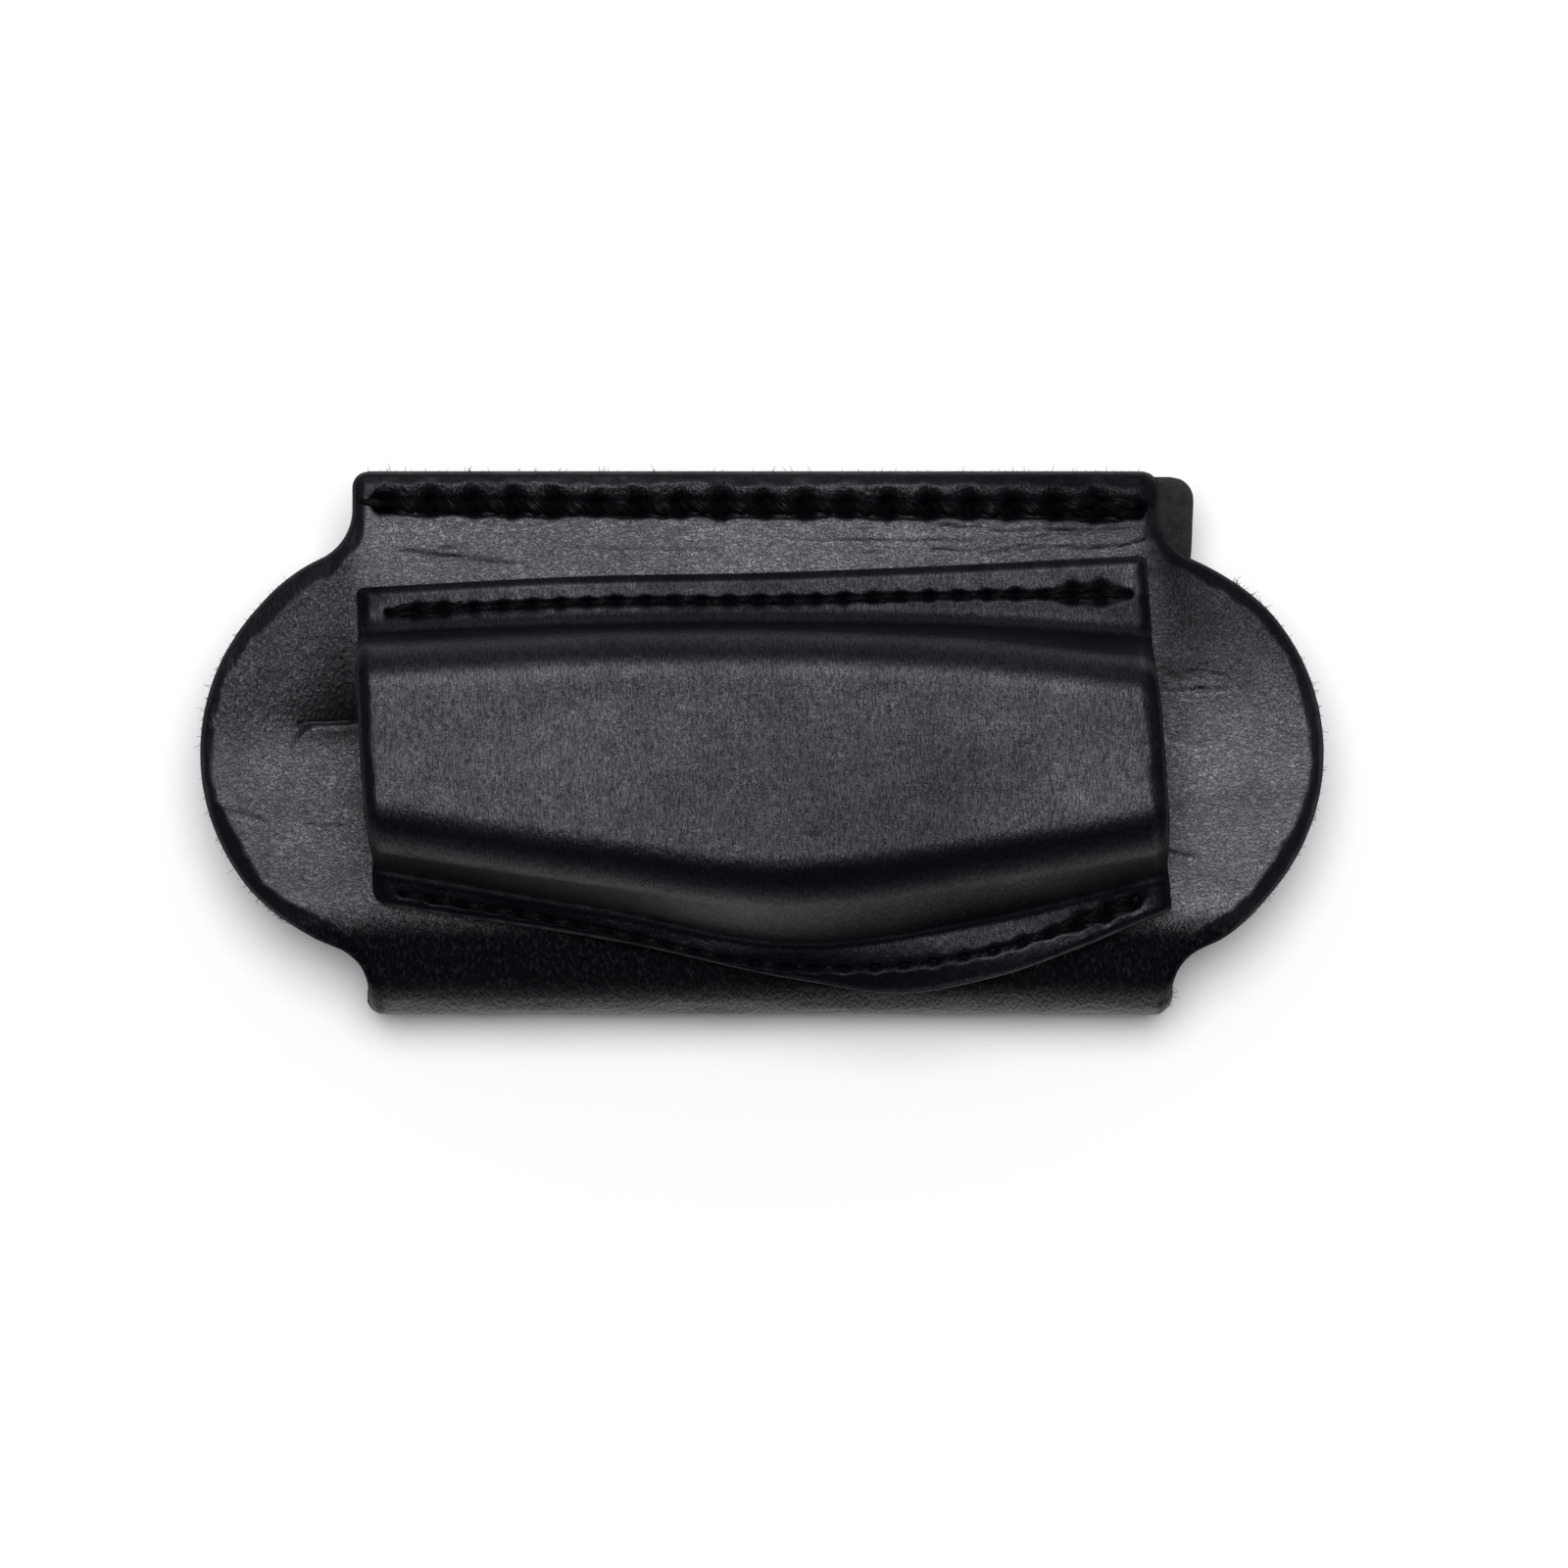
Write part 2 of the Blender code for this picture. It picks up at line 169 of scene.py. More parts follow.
def noise(x, y, size, seed):
    """Smooth noise between -1 and 1 whose features are about this size in millimetres."""
    lattice = np.random.default_rng(seed).uniform(-1, 1, (NOISE_CELLS, NOISE_CELLS))
    u = np.asarray(x) / (size * MM) + NOISE_SHIFT[0]
    v = np.asarray(y) / (size * MM) + NOISE_SHIFT[1]
    i, j = np.floor(u).astype(int), np.floor(v).astype(int)
    a, b = u - i, v - j
    a, b = a * a * (3 - 2 * a), b * b * (3 - 2 * b)
    i1, j1 = (i + 1) % NOISE_CELLS, (j + 1) % NOISE_CELLS
    i, j = i % NOISE_CELLS, j % NOISE_CELLS
    low = lattice[i, j] * (1 - a) + lattice[i1, j] * a
    high = lattice[i, j1] * (1 - a) + lattice[i1, j1] * a
    return low * (1 - b) + high * b


def fractal(x, y, size, seed, octaves=3):
    """Noise of this size with finer and weaker noise on it."""
    total = np.zeros(np.broadcast(x, y).shape)
    for k in range(octaves):
        total += noise(x, y, size / 2**k, seed + k) / 2**k
    return total


def edge_roll(distance, width, depth):
    """How far a rounded edge has dropped at this distance from it."""
    u = np.clip(1 - distance / width, 0, 1)
    return depth * (1 - np.sqrt(1 - u * u))


def bevel(distance, width, slope):
    """How far a bevelled edge has dropped at this distance from it: a slope, and a rounded rim."""
    inner = np.maximum(width - distance, 0)
    sloped = slope * inner * inner / (inner + BEVEL_SOFTNESS)
    return sloped + edge_roll(distance, RIM_WIDTH, RIM_DEPTH)


def graded(stops):
    """Values from the first stop's, through stretches (end, step) that are cut into equal steps."""
    values = [stops[0][0]]
    for end, step in stops[1:]:
        count = max(int(round(abs(end - values[-1]) / step)), 1)
        values.extend(np.linspace(values[-1], end, count + 1)[1:])
    return np.array(values)


def column_places(margin, step):
    """Places from 0 to 1 along a row, with 16 finer steps in the margin at each end."""
    return graded(((0, 0), (margin, margin / 16), (1 - margin, step), (1, margin / 16)))


def surface_normals(points):
    """Unit normals of a grid of points."""
    normals = np.cross(np.gradient(points, axis=0), np.gradient(points, axis=1))
    return normals / np.maximum(np.linalg.norm(normals, axis=2, keepdims=True), 1e-12)


# Meshes


def new_object(name, data):
    made = bpy.data.objects.new(name, data)
    bpy.context.scene.collection.objects.link(made)
    return made


def mesh_object(name, points, faces, materials, face_slots):
    mesh = bpy.data.meshes.new(name)
    mesh.from_pydata(points.tolist(), [], faces)
    for material in materials:
        mesh.materials.append(material)
    mesh.polygons.foreach_set("material_index", np.array(face_slots, np.int32))
    mesh.shade_smooth()
    return new_object(name, mesh)


def add_attribute(piece, name, values):
    attribute = piece.data.attributes.new(name, "FLOAT", "POINT")
    attribute.data.foreach_set("value", np.ascontiguousarray(values, np.float32))


def both_sides(sheet, name, values):
    """The same values on the grain side's grid and on the flesh side's, and none on the fibres."""
    both = np.concatenate([values.ravel(), values.ravel()])
    add_attribute(sheet, name, np.pad(both, (0, len(sheet.data.vertices) - len(both))))


def grid_faces(rows, columns, offset=0, flip=False):
    i, j = np.meshgrid(np.arange(rows - 1), np.arange(columns - 1), indexing="ij")
    a = (i * columns + j).ravel() + offset
    quads = np.stack([a, a + columns, a + columns + 1, a + 1], axis=1)
    return quads[:, ::-1] if flip else quads


def leather_sheet(name, grain, flesh, materials, fibres):
    """A closed sheet from two grids of points, its cut edge, and the loose fibres on that."""
    rows, columns = grain.shape[:2]
    count = rows * columns
    index = np.arange(count).reshape(rows, columns)
    border = np.concatenate([index[:, 0], index[-1, 1:], index[-2::-1, -1], index[0, -2:0:-1]])
    after = np.roll(border, -1)
    rim = np.stack([border, border + count, after + count, after], axis=1)[:, ::-1]
    front = grid_faces(rows, columns)
    back = grid_faces(rows, columns, count, flip=True)
    faces = np.concatenate([front, back, rim]).tolist()
    slots = [0] * len(front) + [1] * len(back) + [2] * len(rim)
    points = [grain.reshape(-1, 3), flesh.reshape(-1, 3)]
    offset = 2 * count
    for centres in fibres:
        tube, tube_faces = fibre(centres, offset)
        points.append(tube)
        faces += tube_faces
        slots += [2] * len(tube_faces)
        offset += len(tube)
    return mesh_object(name, np.concatenate(points), faces, materials, slots)


def fibre(centres, offset):
    """A three-sided closed tube along a few points, thinner at its tip."""
    tangent = np.gradient(centres, axis=0)
    side = np.cross(tangent, (0.3, 0.2, 0.9))
    side /= np.linalg.norm(side, axis=1, keepdims=True)
    up = np.cross(side, tangent)
    up /= np.linalg.norm(up, axis=1, keepdims=True)
    reach = FIBRE_RADIUS * np.linspace(1, FIBRE_TIP, len(centres))[:, None]
    angles = [k * math.tau / 3 for k in range(3)]
    rings = [centres + reach * (math.cos(a) * side + math.sin(a) * up) for a in angles]
    points = np.stack(rings, axis=1).reshape(-1, 3)
    faces = [[0 + offset, 1 + offset, 2 + offset]]
    for ring in range(len(centres) - 1):
        a = offset + 3 * ring
        faces += [[a + k, a + 3 + k, a + 3 + (k + 1) % 3, a + (k + 1) % 3] for k in range(3)]
    last = offset + 3 * (len(centres) - 1)
    return points, [*faces, [last + 2, last + 1, last]]


def loose_fibres(roots, outward, seed, longest=FIBRE_LENGTH):
    """The middle lines of short curled fibres that stand out of a cut edge at these points."""
    random = np.random.default_rng(seed)
    made = []
    for root, out in zip(roots, outward):
        length = longest * (0.3 + 0.7 * random.random() ** 2)
        lean = np.array(out) + random.normal(0, 0.6, 3) * (1, 1, 0.4)
        lean /= np.linalg.norm(lean)
        curl = random.normal(0, 0.5, 3)
        t = np.linspace(0, 1, 5)[:, None]
        made.append(np.array(root) + length * (lean * t + curl * t * t * 0.7))
    return made


def distance_to_line(points, line):
    """Distance of each point (x, s) from the nearest of a line's points."""
    tree = KDTree(len(line))
    for i, (x, y) in enumerate(line):
        tree.insert((x, y, 0), i)
    tree.balance()
    return np.array([tree.find((x, y, 0))[2] for x, y in points])


# Seams


class Seam:
    """A stitched line. Its groove starts by the lead before the first hole.

    Each stretch that is sewn twice is (first stitch, last stitch, how much fuller).
    """

    def __init__(self, line, span, pitch, thread, doubled, lead=0.0):
        self.line = line
        self.first, self.last = span
        self.pitch = pitch
        self.thread = thread
        self.doubled = doubled
        self.lead = lead
        fine = np.linspace(self.first, self.last, 2000)
        y = at_station(line, fine)
        run = np.concatenate([[0], np.cumsum(np.hypot(np.diff(fine), np.diff(y)))])
        self.stitches = round(run[-1] / pitch)
        self.fine, self.run = fine, run

    def y(self, x):
        return at_station(self.line, x)

    def share(self, x):
        """Position along the seam in stitches."""
        return np.interp(x, self.fine, self.run / self.run[-1] * self.stitches)

    def off(self, x, y):
        """Distance above the line (below is negative), round the ends too."""
        beyond = np.maximum(x - self.last, 0) + np.maximum(self.first - self.lead - x, 0)
        across = y - self.y(x)
        return np.where(across < 0, -1, 1) * np.hypot(across, beyond)

    def fullness(self, x):
        """1, and more where the seam is sewn twice."""
        share = self.share(x)
        twice = sum(
            extra * ramp(a - 0.2, a + 1.3, share) * ramp(b + 0.1, b - 0.9, share)
            for a, b, extra in self.doubled
        )
        return 1 + twice - 0.25 * (bump(share, 0.4) + bump(share - self.stitches, 0.4))

    def sink(self, x, y, seed, depth, below, above, hole):
        """How far the seam pulls the leather in: steep below, sloping above, deep at each hole.

        The sizes are in mm, and a hole's are its depth, half length and half width.
        """
        depth, below, above, hole_depth, hole_length, hole_width = mm(depth, below, above, *hole)
        wobble = (1 + 0.22 * fractal(x, y * 0, self.pitch / MM * 0.45, seed, 3)) * self.fullness(x)
        off = self.off(x, y) / wobble
        phase = self.share(x)
        from_hole = np.abs(phase - np.round(phase)) * self.pitch
        near = bump(from_hole, 0.28 * self.pitch)
        low_side = ramp(-1.18 * below, -0.82 * below, off)
        high_side = ramp(above * (0.97 + 0.08 * near), above * (0.1 + 0.2 * near), off)
        holes = hole_depth * bump(from_hole, hole_length) * bump(off - 0.1 * below, hole_width)
        return depth * (0.7 + 0.3 * near) * low_side * high_side + holes

    def groove_shade_mask(self, x, y, half_width):
        """1 in the stitched groove, 0 outside it: where painted shade goes into the grain's
        specular level.
        """
        return ramp(1.25 * half_width, 0.7 * half_width, np.abs(self.off(x, y)) / self.fullness(x))


TOP = Seam(
    TOP_SEAM, span=(-38.0 * MM, 38.3 * MM), pitch=4.3 * MM, thread=1.45 * MM,
    doubled=((16.0, 18.0, 0.25),), lead=0.8 * MM)
UPPER = Seam(
    POCKET_UPPER_SEAM, span=(-38.0 * MM, 37.4 * MM), pitch=2.9 * MM, thread=0.70 * MM,
    doubled=((0.0, 2.6, 0.9), (23.0, 26.0, 1.6)))
LOWER = Seam(
    POCKET_LOWER_SEAM, span=(-36.6 * MM, 38.0 * MM), pitch=3.05 * MM, thread=0.72 * MM,
    doubled=((22.0, 26.0, 1.2),))


# The folded panel


def front_half_width(y):
    """Half the front's width at this height: strip, neck fillets and ears."""
    fillet_x = STRIP_HALF + NECK_FILLET
    reach = EAR_RADIUS + NECK_FILLET
    rise = math.sqrt(reach**2 - (fillet_x - EAR_CENTRE_X) ** 2)
    height = np.abs(y - EAR_CENTRE_Y)
    ear = EAR_CENTRE_X + np.sqrt(np.maximum(EAR_RADIUS**2 - height**2, 0))
    neck = fillet_x - np.sqrt(np.maximum(NECK_FILLET**2 - (rise - height) ** 2, 0))
    corner = np.maximum(y - (TOP_EDGE - TOP_CORNER), 0)
    strip = STRIP_HALF - TOP_CORNER + np.sqrt(np.maximum(TOP_CORNER**2 - corner**2, 0))
    return np.where(height <= rise * EAR_RADIUS / reach, ear, np.where(height <= rise, neck, strip))


class Path:
    """The blank's side profile along its grain side, by straight and curved legs."""

    def __init__(self):
        outer = FLAP_BEND_RADIUS + PANEL_LEATHER / 2
        inner = FLAP_BEND_RADIUS - PANEL_LEATHER / 2
        rise = FRONT_FACE - 2 * PANEL_LEATHER - LAYER_GAP
        lift = (outer + inner) * (1 - math.cos(FLAP_RISE_ANGLE))
        slope = (rise - lift) / math.sin(FLAP_RISE_ANGLE)
        run = (outer + inner) * math.sin(FLAP_RISE_ANGLE) + slope * math.cos(FLAP_RISE_ANGLE)
        quarter = math.pi / 2
        legs = (
            (TOP_EDGE - FRONT_FOLD_START, 0),
            (FRONT_FOLD_RADIUS * quarter, quarter),
            (BACK_FOLD_RADIUS * quarter, quarter),
            (FLAP_RISE_START - BACK_FOLD_START, 0),
            (outer * FLAP_RISE_ANGLE, FLAP_RISE_ANGLE),
            (slope, 0),
            (inner * FLAP_RISE_ANGLE, -FLAP_RISE_ANGLE),
            (FLAP_END - FLAP_RISE_START - run, 0),
        )
        step = 0.05 * MM
        lengths, headings = [0.0], [math.pi]
        for length, turn in legs:
            count = int(math.ceil(length / step))
            lengths.extend([length / count] * count)
            headings.extend(headings[-1] + turn * (np.arange(count) + 1) / count)
        self.headings = np.array(headings)
        middle = np.concatenate([[math.pi], (self.headings[1:] + self.headings[:-1]) / 2])
        self.s = np.cumsum(lengths)
        self.y = TOP_EDGE + np.cumsum(np.array(lengths) * np.cos(middle))
        self.z = FRONT_FACE + np.cumsum(np.array(lengths) * np.sin(middle))
        ends = np.cumsum([length for length, _ in legs])
        self.fold_start, self.fold_middle, self.fold_end, self.rise_start = ends[:4]
        self.end = ends[-1]

    def at(self, s):
        """y, z and the outward normal's y and z at distances along the path."""
        heading = np.interp(s, self.s, self.headings)
        y, z = np.interp(s, self.s, self.y), np.interp(s, self.s, self.z)
        return y, z, np.sin(heading), -np.cos(heading)


def panel_sides(path, s, y):
    """Left and right edge at each row: the front leans left going up, and the flap leans right."""
    half = front_half_width(y)
    fold_shift = 0.85 * MM
    top_shift = 0.65 * MM
    front_shift = fold_shift * mm_ramp(-15, -22, y) - top_shift * mm_ramp(13, 20, y)
    flap_shift = fold_shift + FLAP_SKEW * (y - BACK_FOLD_START)
    corner = np.maximum(y - (FLAP_END - FLAP_CORNER), 0)
    trim = FLAP_CORNER - np.sqrt(np.maximum(FLAP_CORNER**2 - corner**2, 0))
    flap = s > path.fold_middle
    shift = np.where(flap, flap_shift, front_shift)
    half = np.where(flap, STRIP_HALF - trim, half)
    return shift - half, shift + half


def crease_line(x, y, crease, seed):
    """Height of a shallow broken crease that fades at its ends."""
    crease = mm(*crease)
    start, end, depth, width = crease[:2], crease[2:4], crease[4], crease[5]
    along = end - start
    length = np.hypot(*along)
    t = ((x - start[0]) * along[0] + (y - start[1]) * along[1]) / length
    off = ((y - start[1]) * along[0] - (x - start[0]) * along[1]) / length
    off = off + 0.25 * MM * noise(t, off * 0, 2.2, seed)
    fade = ramp(-0.12 * length, 0.2 * length, t) * ramp(1.12 * length, 0.8 * length, t)
    broken = np.clip(0.65 + 0.8 * noise(t, off * 0, 1.8, seed + 50), 0, 1)
    return -depth * bump(off, width) * fade * broken


# Creases in the front, in mm: x and y of the start, x and y of the end, depth, half width
FRONT_CREASES = (
    (-38.5, 19.5, -31, 18.9, 0.12, 0.30), (-34.5, 19.1, -27, 18.6, 0.12, 0.30),
    (-36, 18.7, -24, 18.2, 0.09, 0.26), (-33.5, 19.8, -29, 19.5, 0.09, 0.24),
    (-20, 19.8, -4, 19.4, 0.05, 0.26), (-38, 22.2, -22, 22, 0.04, 0.30),
    (2, 20.6, 24, 20.3, 0.08, 0.24), (8, 19.2, 38, 19.9, 0.10, 0.24),
    (14, 21.4, 37.5, 21.6, 0.09, 0.24), (26, 20.4, 40, 22.2, 0.11, 0.26),
    (20, 18.8, 33, 20.8, 0.07, 0.24), (24, 22.4, 36, 22.5, 0.07, 0.24),
    (34, 18.9, 40.3, 20.8, 0.12, 0.24), (27, 21.6, 32, 21.3, 0.16, 0.32),
    (30.5, 19.6, 35.5, 19.9, 0.13, 0.30), (17, 22, 22.5, 21.9, 0.12, 0.28),
    (41, 8, 45.8, 7.8, 0.12, 0.22), (41, 7.2, 47.2, 7, 0.15, 0.22),
    (41.2, 6.5, 48, 6.5, 0.10, 0.22), (41, 5, 45.6, 5.4, 0.16, 0.24),
    (44, 5.4, 50.5, 5.6, 0.09, 0.24), (41.5, 0.3, 43.8, -0.4, 0.13, 0.24),
    (41.2, -11.4, 44.4, -12.1, 0.20, 0.26), (49.6, -15.4, 49.3, -18, 0.16, 0.24),
    (-51.5, 12.4, -51.3, 6, 0.14, 0.24), (-50.7, -9.6, -50.6, -14.2, 0.13, 0.24),
    (-56, -6.6, -50, -8.6, 0.09, 0.28), (-46.5, -8.4, -42, -8.8, 0.10, 0.24),
    (-53, -3.5, -48, -1.2, 0.07, 0.30),
)


def step_line(x):
    """Where the knife's end creased the left ear."""
    return 2.1 * MM + 0.06 * (x + 42 * MM) + 0.08 * MM * fractal(x, x * 0, 3, 71, 2)


def ear_relief(x, y):
    """The left ear where the knife's end presses on it: a hollow with a step."""
    x, y, step_y = x / MM, y / MM, step_line(x) / MM
    reach = ramp(-53.5, -41, x - 0.45 * np.maximum(y - 3, 0))
    spread = 0.30 + 6 * ramp(-45.5, -51, x)
    falling = np.clip((12.5 - y) / 10, 0, 1) ** 2
    hollow = 1.4 * reach * falling * ramp(step_y - spread, step_y, y)
    lip = 0.14 * bump(y - step_y + 0.7, 0.7) * ramp(-48, -45, x)
    crease = 0.34 * bump(y - step_y - 0.12, 0.2) * ramp(-47.8, -46.8, x)
    end = x + 47.4 - 0.35 * (y - 1.2)
    crease = crease + 0.12 * bump(end, 0.16) * bump(y - 1.2, 0.6)
    return MM * ramp(-40.5, -42.5, x) * (lip - hollow - crease)


def ear_bend(x, y):
    """How far the right ear leans back as a whole."""
    bend = 0.009 / MM * np.maximum(y - 5.5 * MM, 0) ** 2
    cup = 0.02 * np.maximum(-4 * MM - y, 0)
    return mm_ramp(37.5, 45, x) * (bend + cup)


def front_relief(x, s, y, path):
    """Height of the grain side over the plain path, on the front and on the fold."""
    front = ramp(path.fold_start + 2 * MM, path.fold_start - 2 * MM, s)
    height = front * ear_relief(x, y)
    height += front * 0.10 * MM * fractal(x, y, 14, 11, 2)
    for k, crease in enumerate(FRONT_CREASES):
        height += front * crease_line(x, y, crease, 100 + k)
    height -= front * TOP.sink(x, y, 21, depth=0.60, below=0.95, above=2.3, hole=(2.2, 0.75, 0.85))
    off = y - TOP.y(x)
    phase = TOP.share(x)
    pucker = 0.10 * MM * np.cos(2 * math.pi * phase) * bump(off - 1.7 * MM, 0.9 * MM)
    gathers = 0.07 * MM * fractal(x, y * 0.25, 1.1, 23, 2) * bump(off + 1.6 * MM, 0.7 * MM)
    height -= front * (pucker + gathers) * mm_ramp(-42, -39, x) * mm_ramp(41, 39, x)
    toward_fold = 0.030 / MM * np.clip(-17 * MM - y, 0, 3.4 * MM) ** 2
    turned = ramp(path.fold_start - 4 * MM, path.fold_middle, s)
    behind = ramp(path.fold_end, path.fold_middle, s)
    height += behind * (0.30 * MM * turned - toward_fold * (1 - turned))
    fold = ramp(path.fold_start + 2 * MM, path.fold_start + 8 * MM, s) * behind
    height += fold * 0.07 * MM * fractal(x, s * 4, 7, 31, 3)
    height += 0.015 * MM * fractal(x, s, 1.4, 41, 2)
    return height


def edge_width(x, s, y, path):
    """How wide the burnished bevel is: uneven on the front, and narrow round the flap."""
    width = 1.45 * MM + 0.30 * MM * fractal(x, s, 6, 42, 2)
    width += 0.22 * MM * fractal(x, s, 1.4, 43, 2)
    ears = mm_ramp(42, 45, np.abs(x)) * (s < path.fold_start)
    width += 0.5 * MM * ears * mm_ramp(-4, -12, y)
    width += 0.7 * MM * ears * mm_ramp(6, 13, y) * (x < 0)
    return np.where(s > path.fold_end, 0.8 * MM, width)


def panel_wax_and_painted_light(x, s, y, path):
    """How waxed the grain is from place to place, with painted shade and painted highlights put
    into its specular level.
    """
    wax_and_painted_light = 1.0 + 0.14 * fractal(x, y, 9, 44, 3)

    # Streaks above the pocket, a darker streaked patch at the left, and painted shade on the strip
    # by the top seam
    top_band = mm_ramp(15.5, 17.5, y) * mm_ramp(43, 40, np.abs(x))
    streaks = fractal(x, y * 9, 9, 45, 3) * (1 + mm_ramp(0, 20, x))
    wax_and_painted_light += top_band * (0.45 - 0.60 * mm_ramp(10, 32, x) + 0.10 * streaks)
    patch_y = 19.05 * MM - 0.07 * (x + 33 * MM)
    dark_streaked_patch = bump(y - patch_y, 0.55 * MM) * bump(x + 32.5 * MM, 5 * MM)
    wax_and_painted_light -= dark_streaked_patch * (0.55 + 0.35 * fractal(x, y * 8, 3, 46, 3))
    # painted shade on the leather that slopes down into the top seam
    wax_and_painted_light -= (0.56 - 0.22 * mm_ramp(5, 30, x)) * mm_ramp(23.8, 25, y)

    # The left ear: painted shade above its step, most of all beside the pocket, painted light
    # below, and a painted highlight along the step
    left = mm_ramp(-40, -43, x)
    step_y = 2.1 * MM
    soft = 0.4 * MM + 6 * MM * mm_ramp(-46, -50, x)
    above_step = left * ramp(step_y - soft, step_y + soft, y)
    near_pocket = mm_ramp(-51, -42.5, x - 0.3 * np.maximum(y - 2 * MM, 0))
    near_pocket = near_pocket * mm_ramp(14, 4, y)
    wax_and_painted_light -= above_step * (0.16 + 0.48 * near_pocket)
    wax_and_painted_light += 0.15 * left * mm_ramp(1, -4, y)
    # painted highlight on the step's lip
    painted_step_highlight = bump(y - step_line(x) + 0.20 * MM, 0.15 * MM)
    wax_and_painted_light += 2.0 * painted_step_highlight * mm_ramp(-47.5, -45.5, x) * left

    # The right ear: painted shade above, painted light below, and painted shade along its creases
    # and beside the pocket
    right = mm_ramp(38.5, 42, x)
    wax_and_painted_light += 0.58 * right * mm_ramp(9, 1, y) - 0.55 * right * mm_ramp(4, 13, y)
    # painted shade along the creases
    crease_shade = bump(y - 7.2 * MM, 1.0 * MM) * mm_ramp(48, 43, x)
    crease_shade += bump(y + 11.8 * MM, 0.6 * MM) * mm_ramp(45, 43, x)
    wax_and_painted_light -= right * crease_shade * (0.30 + 0.25 * fractal(x, y * 7, 3, 47, 3))
    # painted shade beside the pocket
    middle = mm_ramp(-14, -6, y) * mm_ramp(10, 4, y)
    wax_and_painted_light -= 0.30 * right * mm_ramp(45, 41.5, x) * middle
    wax_and_painted_light -= 0.12 * right * mm_ramp(48, 42, x) * mm_ramp(7, 12, y)

    # Painted shade in the stitched groove, and painted shade on the fold where it starts to turn
    wax_and_painted_light *= 1 - 0.75 * TOP.groove_shade_mask(x, y, 1.15 * MM)
    fold = ramp(path.fold_start - 2.6 * MM, path.fold_start, s)
    fold_painted_shade = 0.05 + 0.74 * ramp(path.fold_start + 4.5 * MM, path.fold_start + 9 * MM, s)
    return wax_and_painted_light * (1 - fold) + fold_painted_shade * fold


def panel_fibres():
    """Fibres along the top edge, round the ears, and thickest at the fold's right corner."""
    random = np.random.default_rng(7)
    rim_z = FRONT_FACE - 1.7 * MM
    most_turn = 0.95
    roots, outward = [], []
    for x in random.uniform(-40.5 * MM, 39.3 * MM, 320):
        roots.append((x, TOP_EDGE - 0.3 * MM, rim_z + random.uniform(-0.2, 1.2) * MM))
        outward.append((0, 1, 0.2))
    for side in (-1, 1):
        for angle in random.uniform(-most_turn, most_turn, 280):
            way = np.array([side * math.cos(angle), math.sin(angle), 0])
            z = rim_z + random.uniform(-0.5, 0.5) * MM
            centre = np.array([side * EAR_CENTRE_X, EAR_CENTRE_Y, z])
            roots.append(centre + way * (EAR_RADIUS - 0.25 * MM))
            outward.append(way)
    for y in random.uniform(-27 * MM, -22.5 * MM, 90):
        height = BACK_FOLD_RADIUS + math.sqrt(FRONT_FOLD_RADIUS**2 - (FRONT_FOLD_START - y) ** 2)
        roots.append((STRIP_HALF + 0.5 * MM, y, height - 1.8 * MM))
        outward.append((1, -0.5, 0.2))
    return loose_fibres(roots, outward, 8)


def panel_outline(path, s, left, right):
    """Points (x, s) all along the blank's outline."""
    fine = np.linspace(0, path.end, 5000)
    fine_left, fine_right = panel_sides(path, fine, path.at(fine)[0])
    ends = [
        np.stack([np.linspace(left[row], right[row], 3000), np.full(3000, s[row])], 1)
        for row in (0, -1)
    ]
    sides = [
        np.stack(pair, 1)
        for pair in ((left, s), (right, s), (fine_left, fine), (fine_right, fine))
    ]
    return np.concatenate([*sides, *ends])


